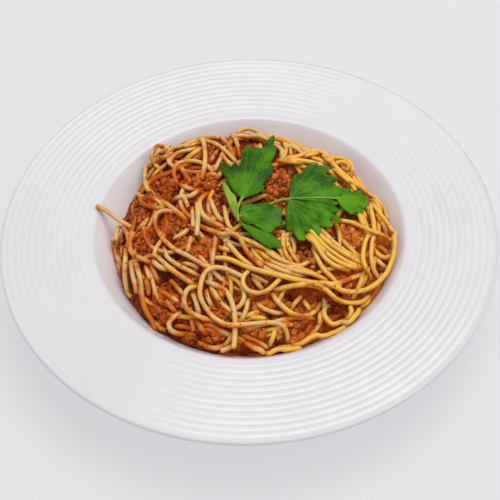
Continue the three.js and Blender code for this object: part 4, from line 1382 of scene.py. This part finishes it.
def vein_pull(x, y, base, veins):
    """How near a place is to a vein, 0 to 1: main veins from the base, and side veins from them."""
    pull = np.zeros_like(x)
    thin, thick = VEIN_WIDTH
    for direction, length in veins:
        a = math.radians(direction)
        ahead = (x - base[0]) * math.cos(a) + (y - base[1]) * math.sin(a)
        aside = np.abs((y - base[1]) * math.cos(a) - (x - base[0]) * math.sin(a))
        inside = np.clip(1.05 - ahead / length, 0, 1) ** 0.4 * (ahead > -1)
        width = thin + (thick - thin) * np.clip(1 - ahead / length, 0, 1)
        pull = np.maximum(pull, np.exp(-(aside / width) ** 2) * inside)
        slant = (ahead - SIDE_VEIN_SLANT * aside) / SIDE_VEIN_PITCH
        nearest = np.abs(slant - np.round(slant)) * SIDE_VEIN_PITCH * SIDE_VEIN_STRETCH
        fade = np.clip(1 - aside / SIDE_VEIN_REACH, 0, 1) * inside
        side = SIDE_VEIN_STRENGTH * np.exp(-(nearest / SIDE_VEIN_WIDTH) ** 2) * fade
        pull = np.maximum(pull, side)
    return pull


def make_leaflet(bed, name, base, lobes, wave):
    """Corners, faces and vein marks of one leaflet that lies on the bed."""
    directions, lengths = leaf_outline(lobes)
    longest = max(length for _, length, _ in lobes)
    veins = [(tip, VEIN_LENGTH * length) for tip, length, _ in lobes if length > VEINED_LOBE * longest]
    rings = int(max(lengths) / LEAF_STEP)
    share = (np.arange(1, rings + 1) / rings)[:, None]
    x = base[0] + share * lengths * np.cos(directions)
    y = base[1] + share * lengths * np.sin(directions)
    pull = vein_pull(x, y, base, veins)
    seed = len(name) + int(base[0])
    (large, wide), (small, narrow) = LARGE_BUCKLES, SMALL_BUCKLES
    ripple = wave * np.sin(WAVE_TURNS * directions + WAVE_SLANT * x) * share
    ripple += large * value_noise(x, y, wide, seed) * share + small * value_noise(x, y, narrow, seed + 1)
    curl = CURL_DEPTH * np.clip(share - CURL_FROM, 0, 1) ** 2
    z = grid_at(bed, x, y) + LEAF_CLEARANCE + wave + ripple - curl - VEIN_GROOVE * pull
    base_z = float(grid_at(bed, *base)) + LEAF_CLEARANCE + wave - BASE_SUNK
    upper = np.vstack([[(*base, base_z)], np.stack([x, y, z], -1).reshape(-1, 3)])
    corners = np.vstack([upper, upper - (0, 0, LEAF_THICKNESS)])
    count, below = len(directions), len(upper)
    at = np.arange(rings * count).reshape(rings, count) + 1
    quads = np.stack([at[:-1, :-1], at[1:, :-1], at[1:, 1:], at[:-1, 1:]], -1).reshape(-1, 4)
    faces = quads.tolist() + [(0, k + 1, k + 2) for k in range(count - 1)]
    faces += [tuple(c + below for c in reversed(f)) for f in faces]
    rim = [0] + at[:, 0].tolist() + at[-1, 1:].tolist() + at[:-1, -1][::-1].tolist()
    faces += [(a + below, b + below, b, a) for a, b in zip(rim, rim[1:] + rim[:1])]
    return corners, faces, np.tile(np.append(BASE_VEIN, pull), 2)


def make_parsley(top):
    """Each sprig's leaflets and stems, lying on the strands under them."""
    bed = top.copy()
    for angle in np.arange(8) / 8 * TURN:
        cells = (int(LEAF_REACH * math.sin(angle) / CELL), int(LEAF_REACH * math.cos(angle) / CELL))
        bed = np.maximum(bed, np.roll(top, cells, (0, 1)))
    bed = np.maximum(blur(bed, LEAF_REACH), heap_height(GRID_X, GRID_Y) + LEAF_BRIDGE)
    finishes = {
        "face": leaf_finish("parsley_leaf", LEAF_DARK, LEAF_LIGHT),
        "fresh": leaf_finish("parsley_fresh", LEAF_FRESH, LEAF_BRIGHT),
        "bright": leaf_finish("parsley_bright", LEAF_YOUNG, LEAF_YOUNG_LIGHT),
        "back": leaf_finish("parsley_back", LEAF_LIGHT, LEAF_BACK),
    }
    for name, base, lobes, wave, look in LEAFLETS:
        corners, faces, vein = make_leaflet(bed, name, base, lobes, wave)
        node = "parsley_" + name.split("_")[0]
        make_object("leaflet_" + name, corners, faces, finishes[look], node, "parsley_leaf", vein=vein)
    finish = leaf_finish("parsley_stem", STEM_GREEN, LEAF_BACK)
    for number, (side, points, radius) in enumerate(STEMS, 1):
        x, y = smooth_path(points, STEM_STEP)[0].T
        line = np.stack([x, y, grid_at(bed, x, y) + LEAF_CLEARANCE + STEM_LIFT], 1)
        corners, faces, _ = tube(line, np.full(len(line), radius), STEM_SIDES)
        vein = np.full(len(corners), STEM_VEIN)
        name = f"stem_{side}_{number}"
        make_object(name, corners, faces, finish, "parsley_" + side, "parsley_leaf", vein=vein)


# Studio: floor, lights and camera.
def make_floor():
    side = FLOOR_HALF * MM
    mesh = bpy.data.meshes.new("studio_floor")
    corners = [(-side, -side, 0), (side, -side, 0), (side, side, 0), (-side, side, 0)]
    mesh.from_pydata(corners, [], [(0, 1, 2, 3)])
    mesh.materials.append(floor_finish())
    add_object("studio_floor", mesh)


def make_lights():
    """A soft sky that is brightest overhead, and large lamps above the plate."""
    world = bpy.data.worlds.new("studio")
    world.use_nodes = True
    nodes, links = world.node_tree.nodes, world.node_tree.links
    direction = nodes.new("ShaderNodeTexCoord")
    height = nodes.new("ShaderNodeSeparateXYZ")
    strength = nodes.new("ShaderNodeMapRange")
    strength.inputs["To Min"].default_value = SKY_AT_HORIZON
    strength.inputs["To Max"].default_value = SKY_OVERHEAD
    links.new(direction.outputs["Generated"], height.inputs[0])
    links.new(height.outputs["Z"], strength.inputs["Value"])
    links.new(strength.outputs["Result"], nodes["Background"].inputs["Strength"])
    nodes["Background"].inputs["Color"].default_value = SKY_COLOUR
    bpy.context.scene.world = world
    for name, place, size, power, colour in LAMPS:
        light = bpy.data.lights.new(name, "AREA")
        light.shape = "DISK"
        light.size = size * MM
        light.energy = power
        light.color = colour
        lamp = add_object(name, light)
        lamp.location = Vector(place) * MM
        lamp.rotation_euler = (Vector(LAMP_AIM) - Vector(place)).to_track_quat("-Z", "Y").to_euler()


def make_camera():
    data = bpy.data.cameras.new("camera")
    data.lens = CAMERA_LENS
    data.sensor_width = SENSOR_WIDTH
    data.clip_start = CAMERA_NEAREST * MM
    camera = add_object("camera", data)
    right, up, back, eye = (Vector(v) for v in camera_axes())
    camera.matrix_world = Matrix.Translation(eye * MM) @ Matrix((right, up, back)).transposed().to_4x4()
    bpy.context.scene.camera = camera


make_camera()
make_floor()
make_lights()
bpy.context.scene.view_settings.view_transform = "Standard"
make_plate()
make_parsley(make_heap())
